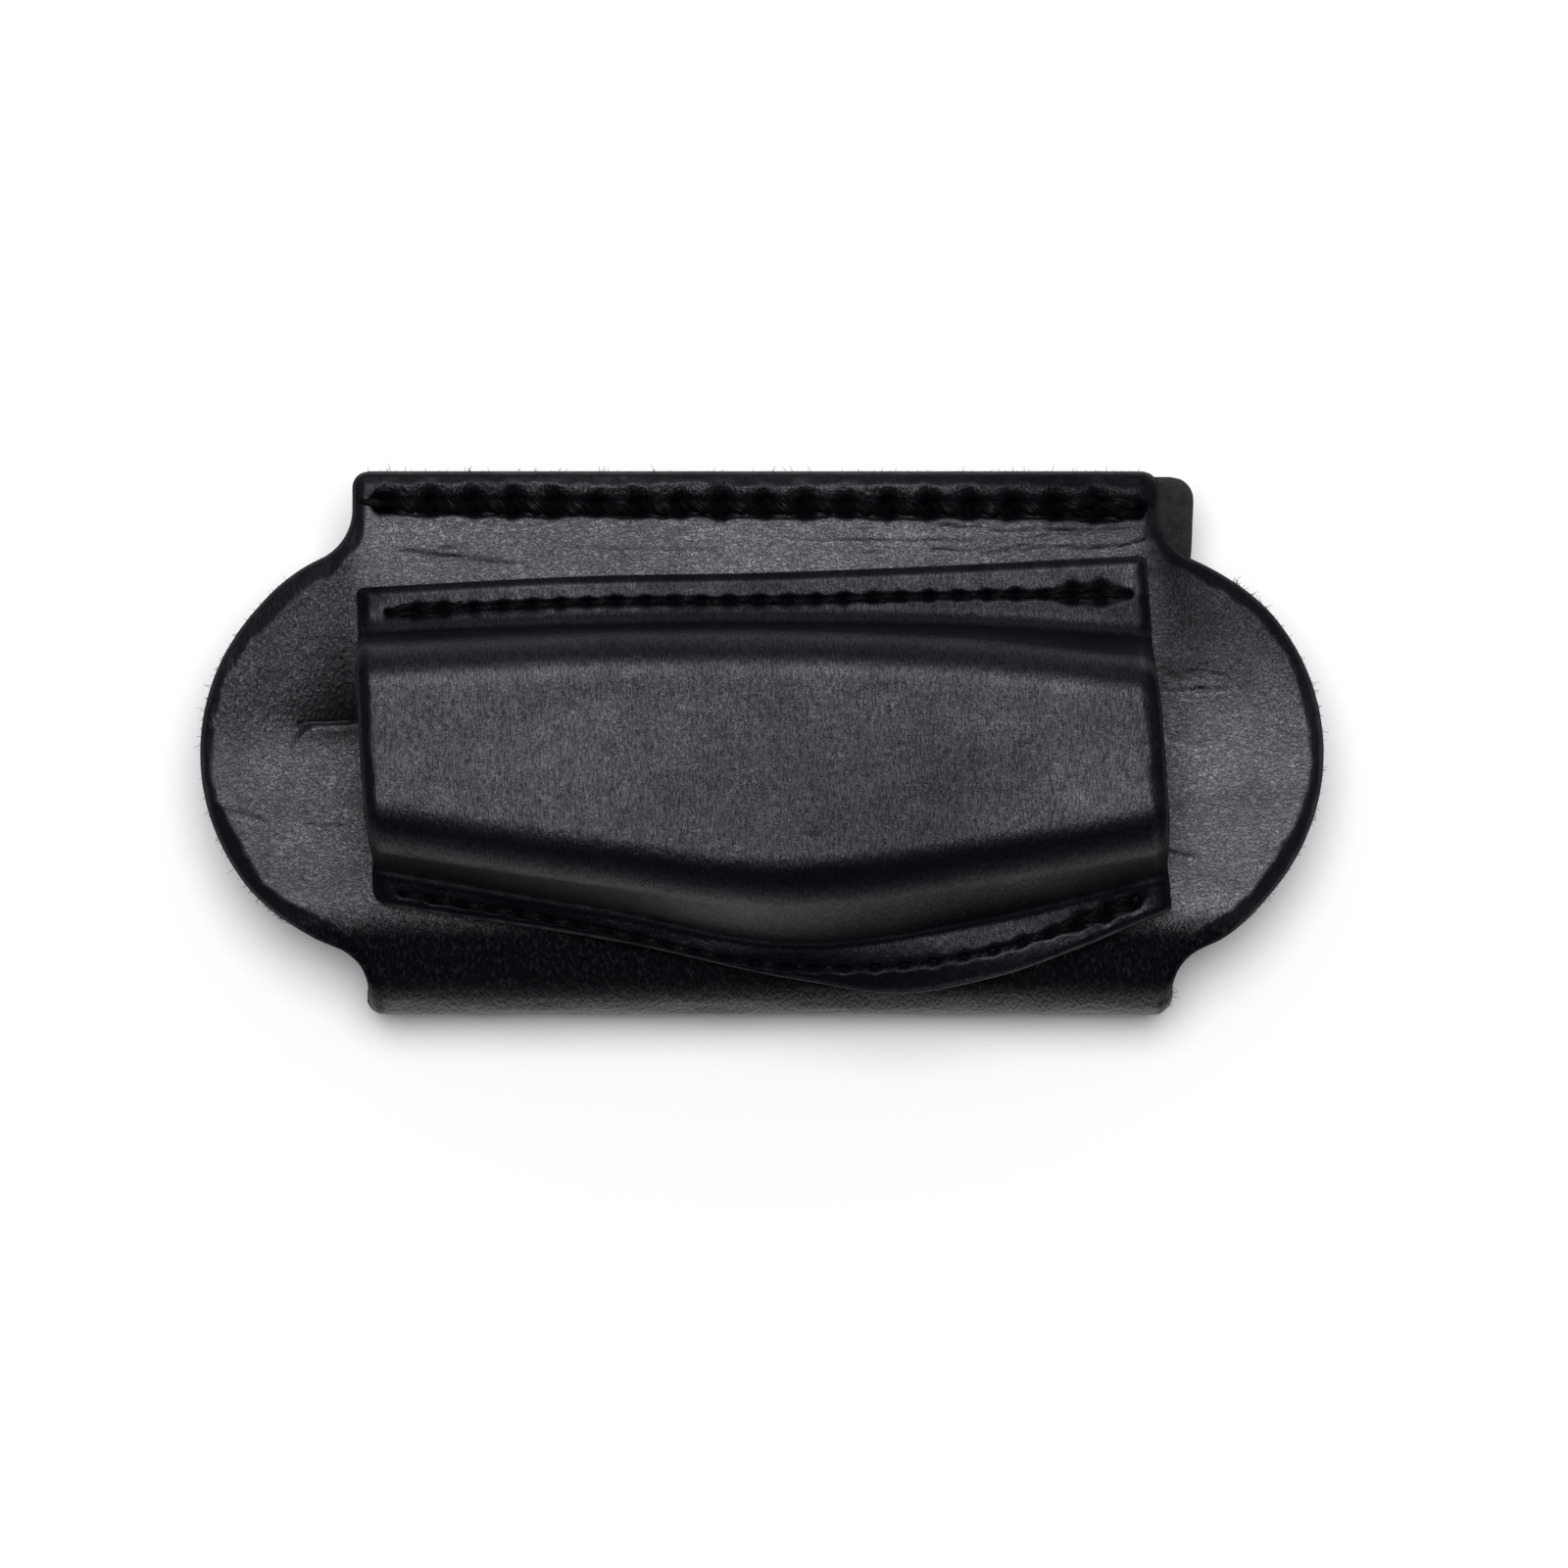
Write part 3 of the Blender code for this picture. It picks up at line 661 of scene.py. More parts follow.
def make_panel(materials):
    path = Path()
    s = graded((
        (0, 0), (2.2 * MM, 0.16 * MM), (10.4 * MM, 0.15 * MM), (15.5 * MM, 0.34 * MM),
        (27.2 * MM, 0.17 * MM), (path.fold_start, 0.26 * MM), (path.fold_end, 0.42 * MM),
        (path.rise_start, 1.2 * MM), (path.end - 2 * MM, 0.6 * MM), (path.end, 0.2 * MM),
    ))
    y, z, ny, nz = path.at(s)
    left, right = panel_sides(path, s, y)
    share = column_places(3.2 * MM / (2 * STRIP_HALF), 1 / 460)
    x = left[:, None] + (right - left)[:, None] * share[None, :]
    s2, y2 = s[:, None] + 0 * x, y[:, None] + 0 * x
    outline = panel_outline(path, s, left, right)
    to_edge = distance_to_line(np.stack([x.ravel(), s2.ravel()], 1), outline).reshape(x.shape)
    to_edge[[0, -1], :] = to_edge[:, [0, -1]] = 0
    grain_height = front_relief(x, s2, y2, path) * mm_ramp(0, 1.2, to_edge)
    width = edge_width(x, s2, y2, path)
    grain_height -= bevel(to_edge, width, np.where(s2 > path.fold_end, 0.25, 0.52))
    flesh_height = -PANEL_LEATHER + edge_roll(to_edge, 1.0 * MM, 0.7 * MM)
    flesh_height += 0.03 * MM * fractal(x, s2, 1.1, 51, 2) * mm_ramp(0, 1, to_edge)
    lean = ear_bend(x, y2) * ramp(path.fold_start, path.fold_start - 6 * MM, s2)
    grain, flesh = (
        np.stack([x, y2 + height * ny[:, None], z[:, None] + height * nz[:, None]], axis=2)
        for height in (grain_height - lean, flesh_height - lean)
    )
    panel = leather_sheet("panel_leather_sheet", grain, flesh, materials, panel_fibres())
    both_sides(panel, "burnish", ramp(width + 0.25 * MM, width - 0.35 * MM, to_edge))
    both_sides(panel, "wax_and_painted_light", panel_wax_and_painted_light(x, s2, y2, path))
    patchy = 0.7 + 0.3 * fractal(x, s2, 1.2, 53, 2)
    worn = 0.25 + 0.75 * mm_ramp(0.6, 0.2, s2) * patchy
    both_sides(panel, "raw_edge_and_painted_bounce", worn * mm_ramp(0.45, 0.1, to_edge))
    pebble = ramp(path.fold_start - 5 * MM, path.fold_start, s2)
    pebble += 0.35 * mm_ramp(24.6, 25.4, y2) * (s2 < 10 * MM)
    ears = mm_ramp(40, 43, np.abs(x)) * (s2 < path.fold_start)
    pebble += ears * mm_ramp(-4, 6, y2) * np.where(x < 0, 0.42, 0.24)
    both_sides(panel, "pebble", pebble)
    return panel


# The pocket


def flange_height(y):
    """The flange's outer face: flat, round the fold, then off it along the tangent."""
    radius = FRONT_FOLD_RADIUS + LAYER_GAP + POCKET_LEATHER
    along = np.clip(FRONT_FOLD_START - y, 0, radius * math.sin(FLANGE_LIFT_ANGLE))
    beyond = np.maximum(FRONT_FOLD_START - y - radius * math.sin(FLANGE_LIFT_ANGLE), 0)
    return BACK_FOLD_RADIUS + np.sqrt(radius**2 - along**2) - beyond * math.tan(FLANGE_LIFT_ANGLE)


def bottom_edge(x):
    stations = np.insert(STATIONS, 3, POCKET_LOW_POINT)
    return smooth_through(stations, np.insert(POCKET_BOTTOM_EDGE, 3, POCKET_LOW_EDGE), x)


def fillet(before, corner, after, radius, steps):
    """Points of an arc that rounds a corner of a polygon."""
    to_before, to_after = (before - corner).normalized(), (after - corner).normalized()
    half = to_before.angle(to_after) / 2
    centre = corner + (to_before + to_after).normalized() * radius / math.sin(half)
    start = (corner + to_before * radius / math.tan(half) - centre).normalized()
    end = (corner + to_after * radius / math.tan(half) - centre).normalized()
    return [centre + radius * start.slerp(end, t) for t in np.linspace(0, 1, steps)]


def straight(start, end, steps):
    """Points between two points, without them."""
    return [start.lerp(end, t) for t in np.linspace(0, 1, steps + 2)[1:-1]]


def pocket_section(x):
    """Points (y, z) of the pocket's outer face at one place along X, from top to bottom edge."""
    upper_reach = UPPER_SHOULDER * math.tan(UPPER_WALL_LEAN / 2)
    lower_reach = LOWER_SHOULDER * math.tan(LOWER_WALL_LEAN / 2)
    foot_y, edge_y = at_station(LOWER_CREASE, x), bottom_edge(x)
    top = Vector((at_station(POCKET_TOP_EDGE, x), FLANGE_FACE))
    base = Vector((at_station(UPPER_CREASE, x), FLANGE_FACE))
    high = Vector((at_station(PLATEAU_TOP, x) + upper_reach, POCKET_ROOF))
    low = Vector((at_station(PLATEAU_BOTTOM, x) - lower_reach, POCKET_ROOF))
    foot = Vector((foot_y, flange_height(foot_y)))
    below = foot_y + (edge_y - foot_y) / 5
    crease = fillet(top, base, high, UPPER_CREASE_RADIUS, 10)
    upper = fillet(base, high, low, UPPER_SHOULDER * SHOULDER_SOFTNESS, 20)
    lower = fillet(high, low, foot, LOWER_SHOULDER * SHOULDER_SOFTNESS, 22)
    valley = fillet(low, foot, Vector((below, flange_height(below))), LOWER_CREASE_RADIUS, 7)
    skirt = [Vector((y, flange_height(y))) for y in np.linspace(valley[-1].x, edge_y, 26)[1:]]
    return [
        *[top.lerp(crease[0], t) for t in np.linspace(0, 1, 25)[:-1]],
        *crease, *straight(crease[-1], upper[0], 16),
        *upper, *straight(upper[-1], lower[0], 34),
        *lower, *straight(lower[-1], valley[0], 18),
        *valley, *skirt,
    ]


def pocket_relief(x, y, left_mouth, right_mouth, side_edge):
    """Height of the grain side over the plain pocket."""
    height = -UPPER.sink(x, y, 61, depth=0.30, below=0.34, above=0.60, hole=(0.9, 0.50, 0.38))
    height -= LOWER.sink(x, y, 62, depth=0.28, below=0.34, above=0.50, hole=(0.8, 0.50, 0.38))
    foot, edge = at_station(LOWER_CREASE, x), bottom_edge(x)
    below = np.clip((foot - y) / (foot - edge), 0, 1)
    height -= 0.75 * MM * below**0.9 * mm_ramp(-25, -19, edge)
    uneven = 1 + 0.16 * fractal(y, x * 0, 3, 65, 3)
    height -= bevel(left_mouth, 1.35 * MM * uneven, 0.6)
    raised = mm_ramp(13, 8, y) * mm_ramp(-16, -11, y)
    height -= bevel(right_mouth, (1.1 + 0.85 * raised) * MM * uneven, 0.5)
    height -= bevel(side_edge, 0.95 * MM * uneven, 0.5)
    mouth = np.minimum(left_mouth, right_mouth)
    height += mm_ramp(0, 2, mouth) * 0.09 * MM * fractal(x, y, 12, 63, 2)
    height += 0.012 * MM * fractal(x, y, 1.6, 64, 2)
    return height


def pocket_wax_and_painted_light(x, y):
    """How waxed the grain is: bright plateau, duller flange, and painted shade on the walls, the
    skirt and the stitched grooves.
    """
    wax_and_painted_light = 1.0 + 0.10 * fractal(x, y, 8, 66, 3)
    wax_and_painted_light += 0.35 * bump(x - 33 * MM, 8 * MM) * bump(y + 5 * MM, 4.5 * MM)
    wax_and_painted_light += 0.12 * bump(x + 30 * MM, 16 * MM)
    wax_and_painted_light -= 0.25 * bump(x - 14 * MM, 15 * MM) * mm_ramp(4, -4, y)
    flange = mm_ramp(-0.4, 0.4, y - at_station(POCKET_UPPER_SEAM, x))
    left_end = mm_ramp(-36, -39.5, x)
    wax_and_painted_light -= (0.30 - 0.14 * mm_ramp(0, 30, x)) * flange + 0.35 * flange * left_end
    wax_and_painted_light += 0.20 * flange * fractal(x, y, 1.6, 68, 2)
    # painted shade on the upper wall
    upper_wall = mm_ramp(-0.5, 1.2, y - at_station(PLATEAU_TOP, x))
    upper_wall = upper_wall * mm_ramp(0.3, -0.3, y - at_station(POCKET_UPPER_SEAM, x))
    wax_and_painted_light *= 1 - 0.5 * upper_wall
    # painted shade on the lower wall and the skirt
    skirt = mm_ramp(0.5, -1, y - at_station(LOWER_CREASE, x))
    lower_wall = mm_ramp(0.3, -1.2, y - at_station(PLATEAU_BOTTOM, x)) * (1 - skirt)
    scuffs = 0.16 * fractal(x, y * 6, 6, 69, 3)
    wax_and_painted_light *= 1 - 0.56 * lower_wall - skirt * (0.78 - 0.64 * mm_ramp(4, 24, x) + scuffs)
    # painted shade in the stitched grooves
    groove_shade = np.maximum(UPPER.groove_shade_mask(x, y, 0.48 * MM), LOWER.groove_shade_mask(x, y, 0.45 * MM))
    return wax_and_painted_light * (1 - 0.7 * groove_shade)


def corner_trim(distance, radius):
    """How far a rounded corner pulls a side in at this distance from the end."""
    return radius - np.sqrt(radius**2 - np.clip(radius - distance, 0, radius) ** 2)


def make_pocket(materials):
    length = POCKET_RIGHT_END - POCKET_LEFT_END
    share = column_places(3.0 * MM / length, 1 / 340)
    sections = [pocket_section(POCKET_LEFT_END + t * length) for t in share]
    yz = np.array([[tuple(point) for point in section] for section in sections]).transpose(1, 0, 2)
    y, z = yz[..., 0], yz[..., 1]
    steps = np.hypot(np.diff(y, axis=0, prepend=y[:1]), np.diff(z, axis=0, prepend=z[:1]))
    run = np.cumsum(steps, axis=0)
    from_bottom = run[-1] - run
    left = POCKET_LEFT_END + LEFT_END_SLANT * y
    right = POCKET_RIGHT_END + RIGHT_END_SLANT * y
    normals = surface_normals(np.stack([left + (right - left) * share[None, :], y, z], axis=2))
    left = left + corner_trim(run, 0.8 * MM) + corner_trim(from_bottom, 1.8 * MM)
    right = right - corner_trim(run, 0.7 * MM) - corner_trim(from_bottom, 0.35 * MM)
    x = left + (right - left) * share[None, :]
    points = np.stack([x, y, z], axis=2)
    side_edge = np.minimum(run, from_bottom)
    mouth = np.minimum(x - left, right - x)
    height = pocket_relief(x, y, x - left, right - x, side_edge)
    grain = points + normals * height[..., None]
    inner = -POCKET_LEATHER + edge_roll(np.minimum(mouth, side_edge), 0.7 * MM, 0.5 * MM)
    inner = inner + 0.02 * MM * fractal(x, run, 1.1, 52, 2)
    flesh = points + normals * inner[..., None]
    random = np.random.default_rng(9)
    picks = random.integers(40, len(share) - 40, 60)
    roots = (grain[-1, picks] + flesh[-1, picks]) / 2
    fibres = loose_fibres(roots, [(0, -0.8, 0.4)] * len(picks), 10, 0.8 * MM)
    pocket = leather_sheet("pocket_leather_sheet", grain, flesh, materials, fibres)
    burnish = np.maximum(mm_ramp(1.9, 0.9, mouth), mm_ramp(1.1, 0.5, side_edge))
    both_sides(pocket, "burnish", burnish)
    both_sides(pocket, "wax_and_painted_light", pocket_wax_and_painted_light(x, y))
    # lighter along the bottom edge: worn raw leather, and painted bounce light from the table
    raw_edge_and_painted_bounce = mm_ramp(0.55, 0.2, from_bottom) * (0.6 + 0.4 * noise(x, y, 0.8, 67))
    both_sides(pocket, "raw_edge_and_painted_bounce", raw_edge_and_painted_bounce)
    both_sides(pocket, "pebble", 0 * x)
    return pocket


# Threads


def over_front(y, height):
    """(y, z) at this height over the front, below the flange's point at y, and the normal there."""
    flange_radius = FRONT_FOLD_RADIUS + FLANGE_FACE - FRONT_FACE
    angle = np.arcsin(np.clip((FRONT_FOLD_START - y) / flange_radius, 0, 1))
    ny, nz = -np.sin(angle), np.cos(angle)
    reach = FRONT_FOLD_RADIUS + height
    return np.maximum(y, FRONT_FOLD_START) + reach * ny, BACK_FOLD_RADIUS + reach * nz, ny, nz


def thread_line(seam, level, inward, slant, lift, dip, seed, start=0, end=None, side=0.0):
    """The middle line, normals and radius of a run of stitches, from one hole to another.

    It rises by lift between holes and sinks by dip into each. Inward is -1 on the front.
    """
    end = seam.stitches if end is None else end
    t = np.linspace(start, end, int((end - start) * seam.pitch / THREAD_STEP) + 1)
    run = t / seam.stitches * seam.run[-1]
    x = np.interp(run, seam.run, seam.fine)
    y = seam.y(x)
    fraction = t - np.floor(np.minimum(t, end - 1e-9))
    swing = np.abs(2 * fraction - 1)
    rise = lift - (lift + dip) * swing**1.6
    jitter = noise(np.floor(t) * 7.3 * MM, t * 0, 5, seed)
    rise = rise + 0.10 * seam.thread * jitter * (1 - swing**2)
    across = (slant * (fraction - 0.5) + 0.30 * jitter * (1 - swing)) * seam.thread + side
    if seam is TOP:
        base_y, base_z, ny, nz = y, FRONT_FACE + level + y * 0, y * 0, y * 0 + 1
    else:
        base_y, base_z, ny, nz = over_front(y, level)
    up = -inward * rise
    points = np.stack([x, base_y + up * ny + across * nz, base_z + up * nz - across * ny], 1)
    normals = np.stack([x * 0, ny, nz], 1) * -inward
    return points, normals, seam.thread / 2


def twisted_thread(name, runs, lay, material):
    """Runs of three-ply thread as closed tubes with a turning three-lobed section."""
    sides = THREAD_SIDES
    flat, tall = 1.15, 0.85
    all_points, all_faces, around, along = [], [], [], []
    offset = 0
    for points, normals, radius in runs:
        tangent = np.gradient(points, axis=0)
        tangent /= np.linalg.norm(tangent, axis=1, keepdims=True)
        side = np.cross(tangent, normals)
        side /= np.linalg.norm(side, axis=1, keepdims=True)
        up = np.cross(side, tangent)
        run = np.concatenate([[0], np.cumsum(np.linalg.norm(np.diff(points, axis=0), axis=1))])
        turn = -2 * math.pi * run / lay
        angle = np.linspace(0, 2 * math.pi, sides, endpoint=False)
        lobe = np.abs(np.cos(1.5 * (angle[None, :] - turn[:, None])))
        uneven = 1 + 0.12 * noise(points[:, 0], run * 0, 1.3, 90)
        reach = radius * (0.76 + 0.28 * lobe) * uneven[:, None]
        ring = points[:, None, :] + reach[..., None] * (
            flat * np.cos(angle)[None, :, None] * side[:, None, :]
            + tall * np.sin(angle)[None, :, None] * up[:, None, :]
        )
        rings = len(points)
        i, j = np.meshgrid(np.arange(rings - 1), np.arange(sides), indexing="ij")
        a, b = i * sides + j, i * sides + (j + 1) % sides
        quads = np.stack([a, a + sides, b + sides, b], axis=2).reshape(-1, 4) + offset
        j = np.arange(sides)
        first, last, tail = rings * sides, rings * sides + 1, (rings - 1) * sides
        cap_a = np.stack([j * 0 + first, j, (j + 1) % sides], 1) + offset
        cap_b = np.stack([j * 0 + last, tail + (j + 1) % sides, tail + j], 1) + offset
        all_points += [ring.reshape(-1, 3), points[[0, -1]]]
        all_faces += [quads.tolist(), cap_a.tolist(), cap_b.tolist()]
        twist = (angle[None, :] - turn[:, None]) / (2 * math.pi)
        around += [twist.ravel(), np.zeros(2)]
        along += [np.repeat(run, sides) / radius, np.zeros(2)]
        offset += rings * sides + 2
    faces = [face for part in all_faces for face in part]
    piece = mesh_object(name, np.concatenate(all_points), faces, [material], [0] * len(faces))
    add_attribute(piece, "around", np.concatenate(around))
    add_attribute(piece, "along", np.concatenate(along))
    return piece


def edge_stitch(seam, level):
    """The stitch that comes round the panel's left edge to the first hole."""
    t = np.linspace(0, 1, 40)
    x = seam.first - (1 - t) * (seam.first + STRIP_HALF + 0.42 * MM)
    y = seam.y(x) + 0.45 * MM * (1 - t)
    drop = 1.5 * MM * (1 - t) ** 6 + 1.6 * MM * t**5 + 0.12 * MM
    normals = np.tile((0.0, 0.0, 1.0), (len(t), 1))
    return np.stack([x, y, FRONT_FACE + level + 0.75 * MM - drop], 1), normals, 0.24 * seam.thread


def make_seam_threads(seam, name, front, back, slant, dip, seed, material):
    """The needle thread, with its doubled stretches beside it, and the bobbin thread behind.

    Front and back are the threads' levels over the front face.
    """
    needle = [thread_line(seam, front, -1, slant, STITCH_LIFT, dip, seed)]
    if seam is TOP:
        needle.append(edge_stitch(seam, front))
    for k, (start, end, extra) in enumerate(seam.doubled):
        lift = STITCH_LIFT + 0.25 * seam.thread
        shift = (0.35 + 0.3 * extra) * seam.thread
        needle.append(thread_line(
            seam, front, -1, -slant, lift, dip * 0.7, seed + 3 + k, start, end, shift))
    bobbin = [thread_line(seam, back, 1, slant, STITCH_LIFT * 0.6, dip, seed + 9)]
    lay = 3.4 * seam.thread
    return {
        f"{name}_{side}_thread": twisted_thread(f"{name}_{side}_cord", runs, lay, material)
        for side, runs in (("needle", needle), ("bobbin", bobbin))
    }


# Materials


class Nodes:
    """A short way to write the node tree of a material or a world."""

    def __init__(self, owner, shader="Principled BSDF"):
        owner.use_nodes = True
        self.owner, self.tree = owner, owner.node_tree
        self.shader = self.tree.nodes[shader]

    def add(self, kind, inputs=None, **settings):
        node = self.tree.nodes.new(kind)
        for key, value in settings.items():
            setattr(node, key, value)
        for key, value in (inputs or {}).items():
            self.feed(node.inputs[key], value)
        return node

    def feed(self, socket, value):
        if isinstance(value, bpy.types.NodeSocket):
            self.tree.links.new(value, socket)
        else:
            socket.default_value = value

    def math(self, operation, a, b=0.0):
        node = self.add("ShaderNodeMath", operation=operation)
        self.feed(node.inputs[0], a)
        self.feed(node.inputs[1], b)
        return node.outputs[0]

    def total(self, *terms):
        return functools.reduce(functools.partial(self.math, "ADD"), terms)

    def product(self, *factors):
        return functools.reduce(functools.partial(self.math, "MULTIPLY"), factors)

    def attribute(self, name):
        return self.add("ShaderNodeAttribute", attribute_name=name).outputs["Fac"]

    def place(self, scale):
        """Object coordinates in millimetres, stretched by a scale along each axis."""
        where = self.add("ShaderNodeTexCoord").outputs["Object"]
        per_mm = [v / MM for v in scale]
        return self.add("ShaderNodeMapping", {"Vector": where, "Scale": per_mm}).outputs["Vector"]

    def noise(self, vector, scale, detail=3.0, roughness=0.55, distortion=0.0):
        node = self.add("ShaderNodeTexNoise", {
            "Vector": vector, "Scale": scale, "Detail": detail, "Roughness": roughness,
            "Distortion": distortion,
        })
        return node.outputs["Fac"]

    def lines(self, vector, scale, width):
        """0 along winding lines, 1 between them."""
        level = self.math("SUBTRACT", self.noise(vector, scale, 2.5, 0.55, 0.6), 0.5)
        return self.between(self.math("ABSOLUTE", level), 0.0, width, 0.0, 1.0)

    def between(self, value, low, high, to_low, to_high):
        node = self.add("ShaderNodeMapRange", {
            "Value": value, "From Min": low, "From Max": high, "To Min": to_low, "To Max": to_high,
        })
        return node.outputs["Result"]

    def bump(self, height):
        """Normals for a height in millimetres."""
        node = self.add("ShaderNodeBump", {"Height": height, "Distance": MM, "Strength": 1.0})
        return node.outputs["Normal"]

    def set(self, **inputs):
        for key, value in inputs.items():
            self.feed(self.shader.inputs[key.replace("_", " ")], value)

    def tint(self, factor, first, second):
        """A mix of two colours, each one given as red, green and blue or by a socket."""
        node = self.add("ShaderNodeMix", data_type="RGBA")
        self.feed(node.inputs["Factor"], factor)
        for key, colour in (("A", first), ("B", second)):
            given = isinstance(colour, bpy.types.NodeSocket)
            self.feed(node.inputs[key], colour if given else (*colour, 1))
        return node.outputs["Result"]


def grain_leather(
    name, wrinkle, wrinkle_depth, hatch, hatch_depth, hatch_tone, speckle, gloss, roughness, blue
):
    """Black grain leather: wrinkles, pores, hatching, waxed sheen with painted shade and painted
    highlights, burnished edges, pebbles.

    Wrinkle and hatch are scales along each axis. Depths are in millimetres.
    """
    n = Nodes(bpy.data.materials.new(name))
    burnish, wax_and_painted_light, raw_edge_and_painted_bounce = n.attribute("burnish"), n.attribute("wax_and_painted_light"), n.attribute("raw_edge_and_painted_bounce")
    open_grain = n.math("SUBTRACT", 1.0, n.product(burnish, 0.6))
    place = n.place((1, 1, 1))
    long_wrinkles = n.lines(n.place(wrinkle), 1.0, 0.075)
    short_wrinkles = n.lines(n.place(wrinkle), 1.9, 0.090)
    medium = n.noise(place, 1.2, 3.0, 0.6)
    fine = n.noise(place, 4.5, 3.0, 0.6)
    streak = n.noise(n.place(hatch), 1.0, 3.0, 0.6)
    pebbles = n.noise(n.place((3.0, 1.5, 1.5)), 1.0, 2.0, 0.5)
    broad = n.noise(place, 0.25, 4.0, 0.6)
    grain = n.total(
        n.product(long_wrinkles, wrinkle_depth),
        n.product(short_wrinkles, 0.5 * wrinkle_depth),
        n.product(medium, 0.056),
        n.product(fine, 0.011),
        n.product(streak, hatch_depth),
        n.product(pebbles, n.product(n.attribute("pebble"), 0.55)),
    )
    rough = n.between(broad, 0.35, 0.65, roughness + 0.03, roughness - 0.03)
    # the specular level takes painted shade and highlights from the attribute
    level = n.product(
        n.between(broad, 0.3, 0.7, 0.88 * gloss, 1.12 * gloss),
        wax_and_painted_light,
        n.between(streak, 0.36, 0.60, 1.0 - hatch_tone, 1.0 + 0.3 * hatch_tone),
        n.between(fine, 0.35, 0.65, 1.0 - speckle, 1.0 + 0.7 * speckle),
        # painted shade along the wrinkles
        n.between(long_wrinkles, 0.0, 1.0, 1.0 - 9 * wrinkle_depth, 1.0),
        n.between(short_wrinkles, 0.0, 1.0, 1.0 - 5.5 * wrinkle_depth, 1.0),
        n.math("SUBTRACT", 1.0, n.product(burnish, 0.72)),
    )
    colour = n.tint(fine, (0.0013, 0.0012, 0.5 * blue), (0.0026, 0.0024, blue))
    # painted highlights on the pebbles' tops, mixed into the base colour
    painted_pebble_highlights = n.product(n.attribute("pebble"), n.between(pebbles, 0.52, 0.72, 0.0, 0.20))
    n.set(
        Base_Color=n.tint(n.total(raw_edge_and_painted_bounce, painted_pebble_highlights), colour, (0.050, 0.046, 0.046)),
        Roughness=n.total(rough, n.product(burnish, 0.10)),
        Normal=n.bump(n.product(grain, open_grain)),
        Specular_IOR_Level=level,
        Specular_Tint=(0.93, 0.92, 1.0, 1),
    )
    return n.owner


def flesh_leather(name):
    """The undyed, fibrous flesh side, stained grey-brown by the dye."""
    n = Nodes(bpy.data.materials.new(name))
    mottle = n.noise(n.place((1, 1, 1)), 0.8, 5.0, 0.75)
    fibre = n.noise(n.place((1.5, 1.5, 1.5)), 4.0, 5.0, 0.75, 1.2)
    patches = n.product(
        n.between(mottle, 0.38, 0.66, 0.0, 1.0), n.between(fibre, 0.35, 0.65, 0.4, 1.0))
    n.set(
        Base_Color=n.tint(patches, (0.0012, 0.0011, 0.0013), (0.036, 0.033, 0.032)),
        Roughness=0.95,
        Normal=n.bump(n.product(fibre, 0.30)),
        Specular_IOR_Level=0.15,
        Sheen_Weight=0.08,
        Sheen_Roughness=0.6,
    )
    return n.owner


def cut_edge(name):
    """The slicked, dyed cut edge, with the layers of fibre showing along it."""
    n = Nodes(bpy.data.materials.new(name))
    layers = n.noise(n.place((0.4, 0.4, 5.0)), 1.0, 4.0, 0.7)
    share = n.between(layers, 0.3, 0.7, 0, 1)
    n.set(
        Base_Color=n.tint(share, (0.006, 0.006, 0.006), (0.018, 0.016, 0.015)),
        Roughness=0.48,
        Normal=n.bump(n.product(layers, 0.05)),
        Specular_IOR_Level=0.4,
    )
    return n.owner


def waxed_thread(name):
    """Waxed black thread: filaments that follow each ply's twist."""
    n = Nodes(bpy.data.materials.new(name))
    across = n.product(n.attribute("around"), 22.0)
    along = n.product(n.attribute("along"), 0.5)
    place = n.add("ShaderNodeCombineXYZ", {"X": across, "Y": along}).outputs["Vector"]
    filament = n.noise(place, 1.0, 2.0, 0.6)
    n.set(
        Base_Color=n.tint(filament, (0.0008, 0.0008, 0.001), (0.0035, 0.0035, 0.004)),
        Roughness=n.between(filament, 0.3, 0.7, 0.34, 0.5),
        Normal=n.bump(n.product(filament, 0.10)),
        Specular_IOR_Level=n.between(filament, 0.48, 0.72, 0.010, 0.20),
    )
    return n.owner


# Stage


VIEW_CENTRE = Vector((2.25 * MM, -4.25 * MM, FRONT_FACE))
VIEW_WIDTH = 160 * MM
CAMERA_DISTANCE = 1.0
FLOOR_SIZE = 8
FLOOR_GAP = 0.05 * MM


def make_floor():
    material = bpy.data.materials.new("white_table")
    white = (0.848, 0.848, 0.86, 1)
    Nodes(material).set(Base_Color=white, Roughness=0.8, Specular_IOR_Level=0.2)
    bpy.ops.mesh.primitive_plane_add(size=FLOOR_SIZE, location=(0, 0, -FLOOR_GAP))
    floor = bpy.context.object
    floor.name = "table"
    floor.data.materials.append(material)


def add_softbox(name, strength, width, lean):
    """A far round light of this angular width, leaning to the sheath's upper side."""
    sun = bpy.data.lights.new(name, "SUN")
    sun.energy = strength
    sun.angle = math.radians(width)
    new_object(name, sun).rotation_euler = (math.radians(-lean), 0, 0)


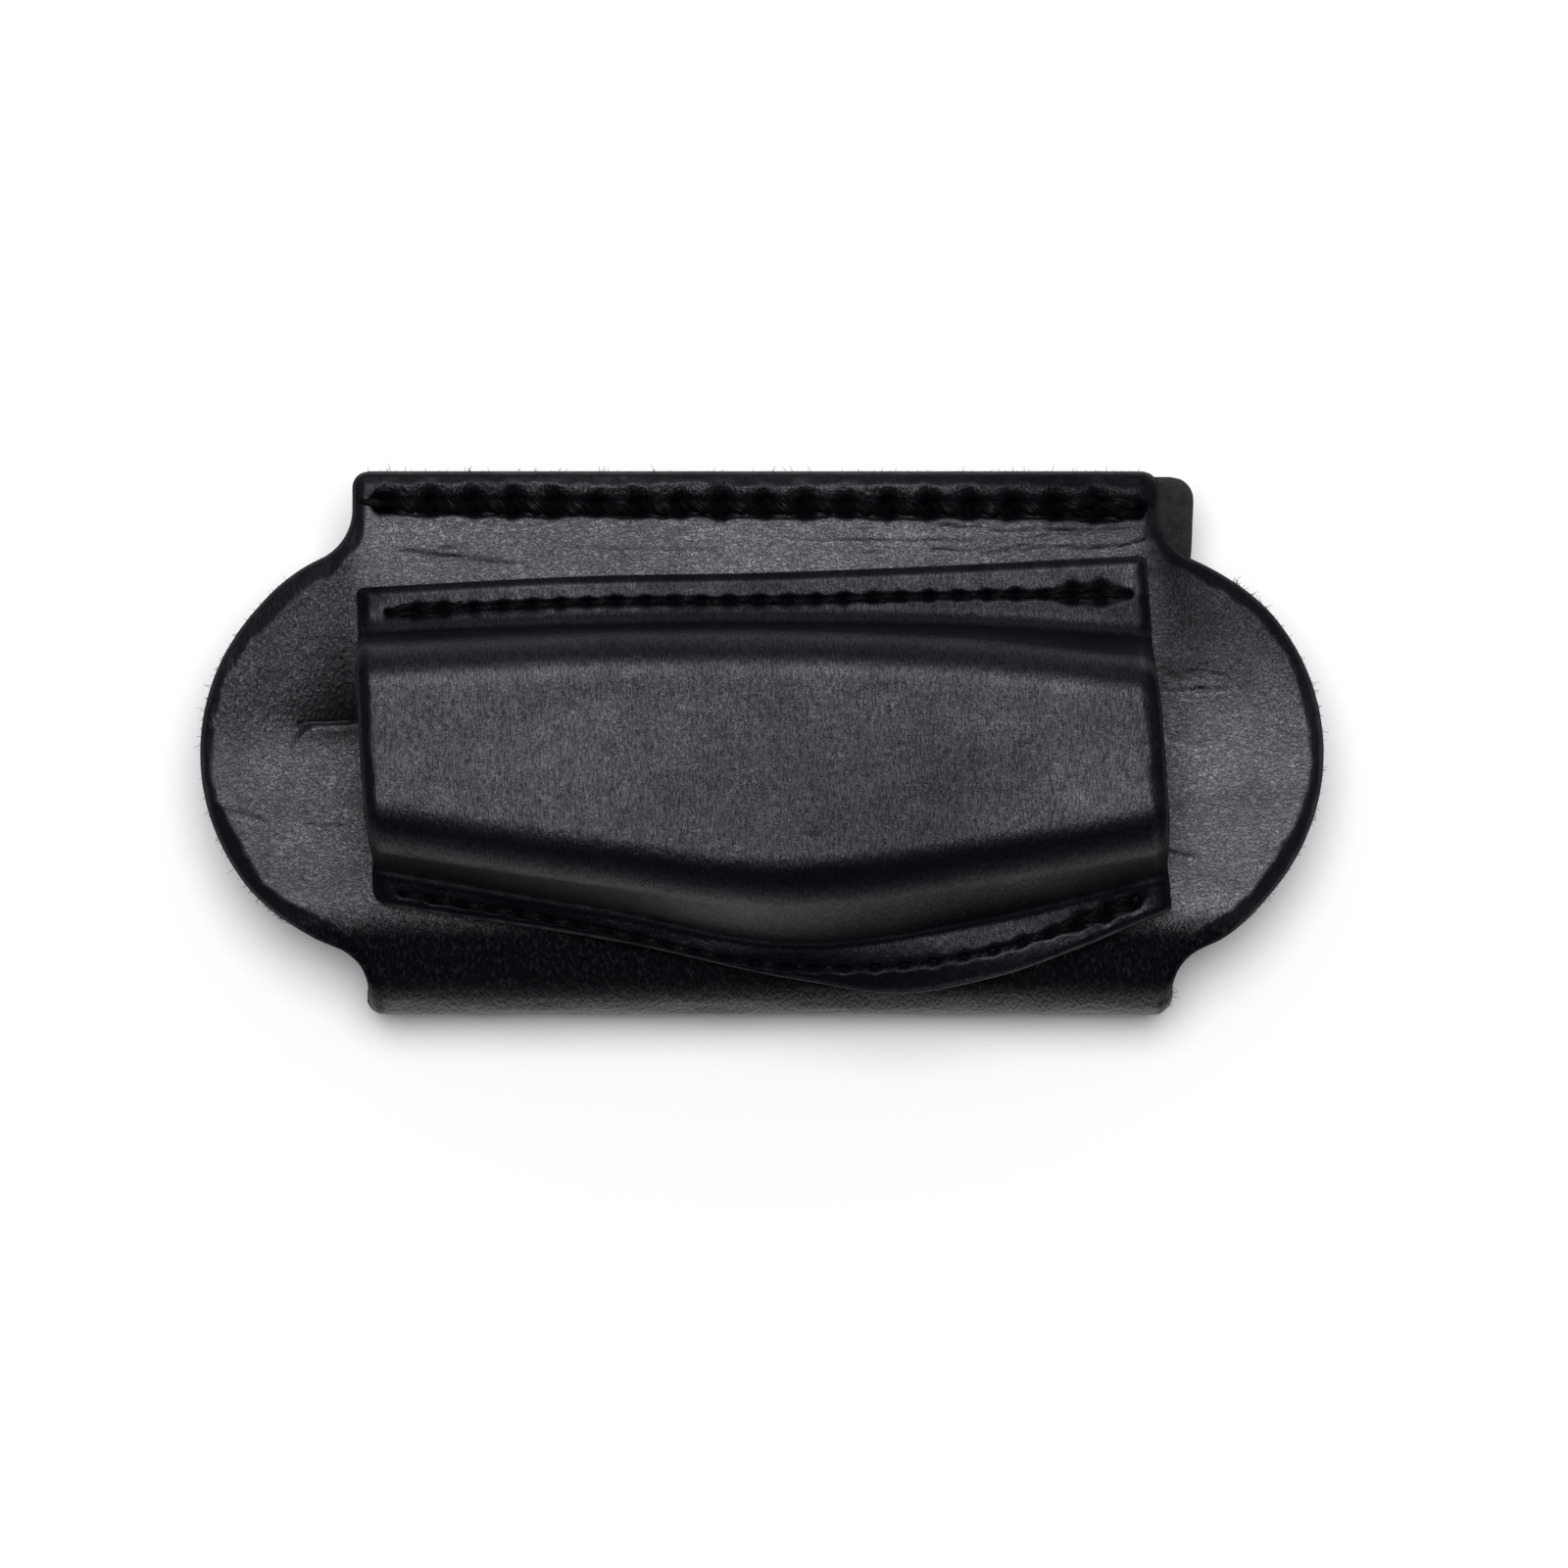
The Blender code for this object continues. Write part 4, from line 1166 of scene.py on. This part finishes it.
def make_light():
    """A bright softbox overhead, a wide dim one, and a dark room that glows faintly low down."""
    add_softbox("overhead_softbox", strength=3.15, width=44, lean=15)
    add_softbox("wide_softbox", strength=0.86, width=100, lean=46)
    world = bpy.data.worlds.new("studio")
    n = Nodes(world, "Background")
    direction = n.add("ShaderNodeTexCoord").outputs["Generated"]
    height = n.add("ShaderNodeSeparateXYZ", {"Vector": direction}).outputs["Z"]
    n.set(Color=(0.90, 0.91, 1.0, 1), Strength=n.between(height, 0.28, 0.46, 0.26, 0.035))
    bpy.context.scene.world = world


def make_camera():
    """A long lens straight above the sheath."""
    camera = bpy.data.cameras.new("camera")
    camera.sensor_width = 36
    camera.lens = camera.sensor_width * CAMERA_DISTANCE / VIEW_WIDTH
    holder = new_object("camera", camera)
    holder.location = VIEW_CENTRE + Vector((0, 0, CAMERA_DISTANCE))
    bpy.context.scene.camera = holder


def main():
    view = bpy.context.scene.view_settings
    view.view_transform = "Standard"
    edge = cut_edge("burnished_edge")
    flesh = flesh_leather("flesh_side")
    panel_grain = grain_leather(
        "panel_grain", wrinkle=(1.8, 2.7, 2.7), wrinkle_depth=0.017,
        hatch=(0.9, 2.6, 2.6), hatch_depth=0.020, hatch_tone=0.12,
        speckle=0.07, gloss=0.515, roughness=0.33, blue=0.0042)
    pocket_grain = grain_leather(
        "pocket_grain", wrinkle=(2.6, 1.8, 1.8), wrinkle_depth=0.009,
        hatch=(7.5, 1.3, 1.3), hatch_depth=0.055, hatch_tone=0.55,
        speckle=0.26, gloss=0.44, roughness=0.31, blue=0.0050)
    thread = waxed_thread("waxed_black_thread")
    panel = make_panel((panel_grain, flesh, edge))
    pocket = make_pocket((pocket_grain, flesh, edge))
    flange = FLANGE_FACE - FRONT_FACE
    behind_front = -PANEL_LEATHER + 0.12 * MM
    behind_flap = -2 * PANEL_LEATHER - LAYER_GAP + 0.35 * MM
    threads = {
        **make_seam_threads(TOP, "top_seam", -0.60 * MM, behind_flap, -0.7, 2.0 * MM, 81, thread),
        **make_seam_threads(
            UPPER, "pocket_upper", flange - 0.28 * MM, behind_front, -0.6, 1.1 * MM, 82, thread),
        **make_seam_threads(
            LOWER, "pocket_lower", flange - 0.45 * MM, behind_front, -0.6, 1.1 * MM, 83, thread),
    }
    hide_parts("folded_belt_panel")
    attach(panel, "root")
    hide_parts("moulded_pocket")
    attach(pocket, "root")
    for node, piece in threads.items():
        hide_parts(node)
        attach(piece, "root")
    make_floor()
    make_light()
    make_camera()


main()
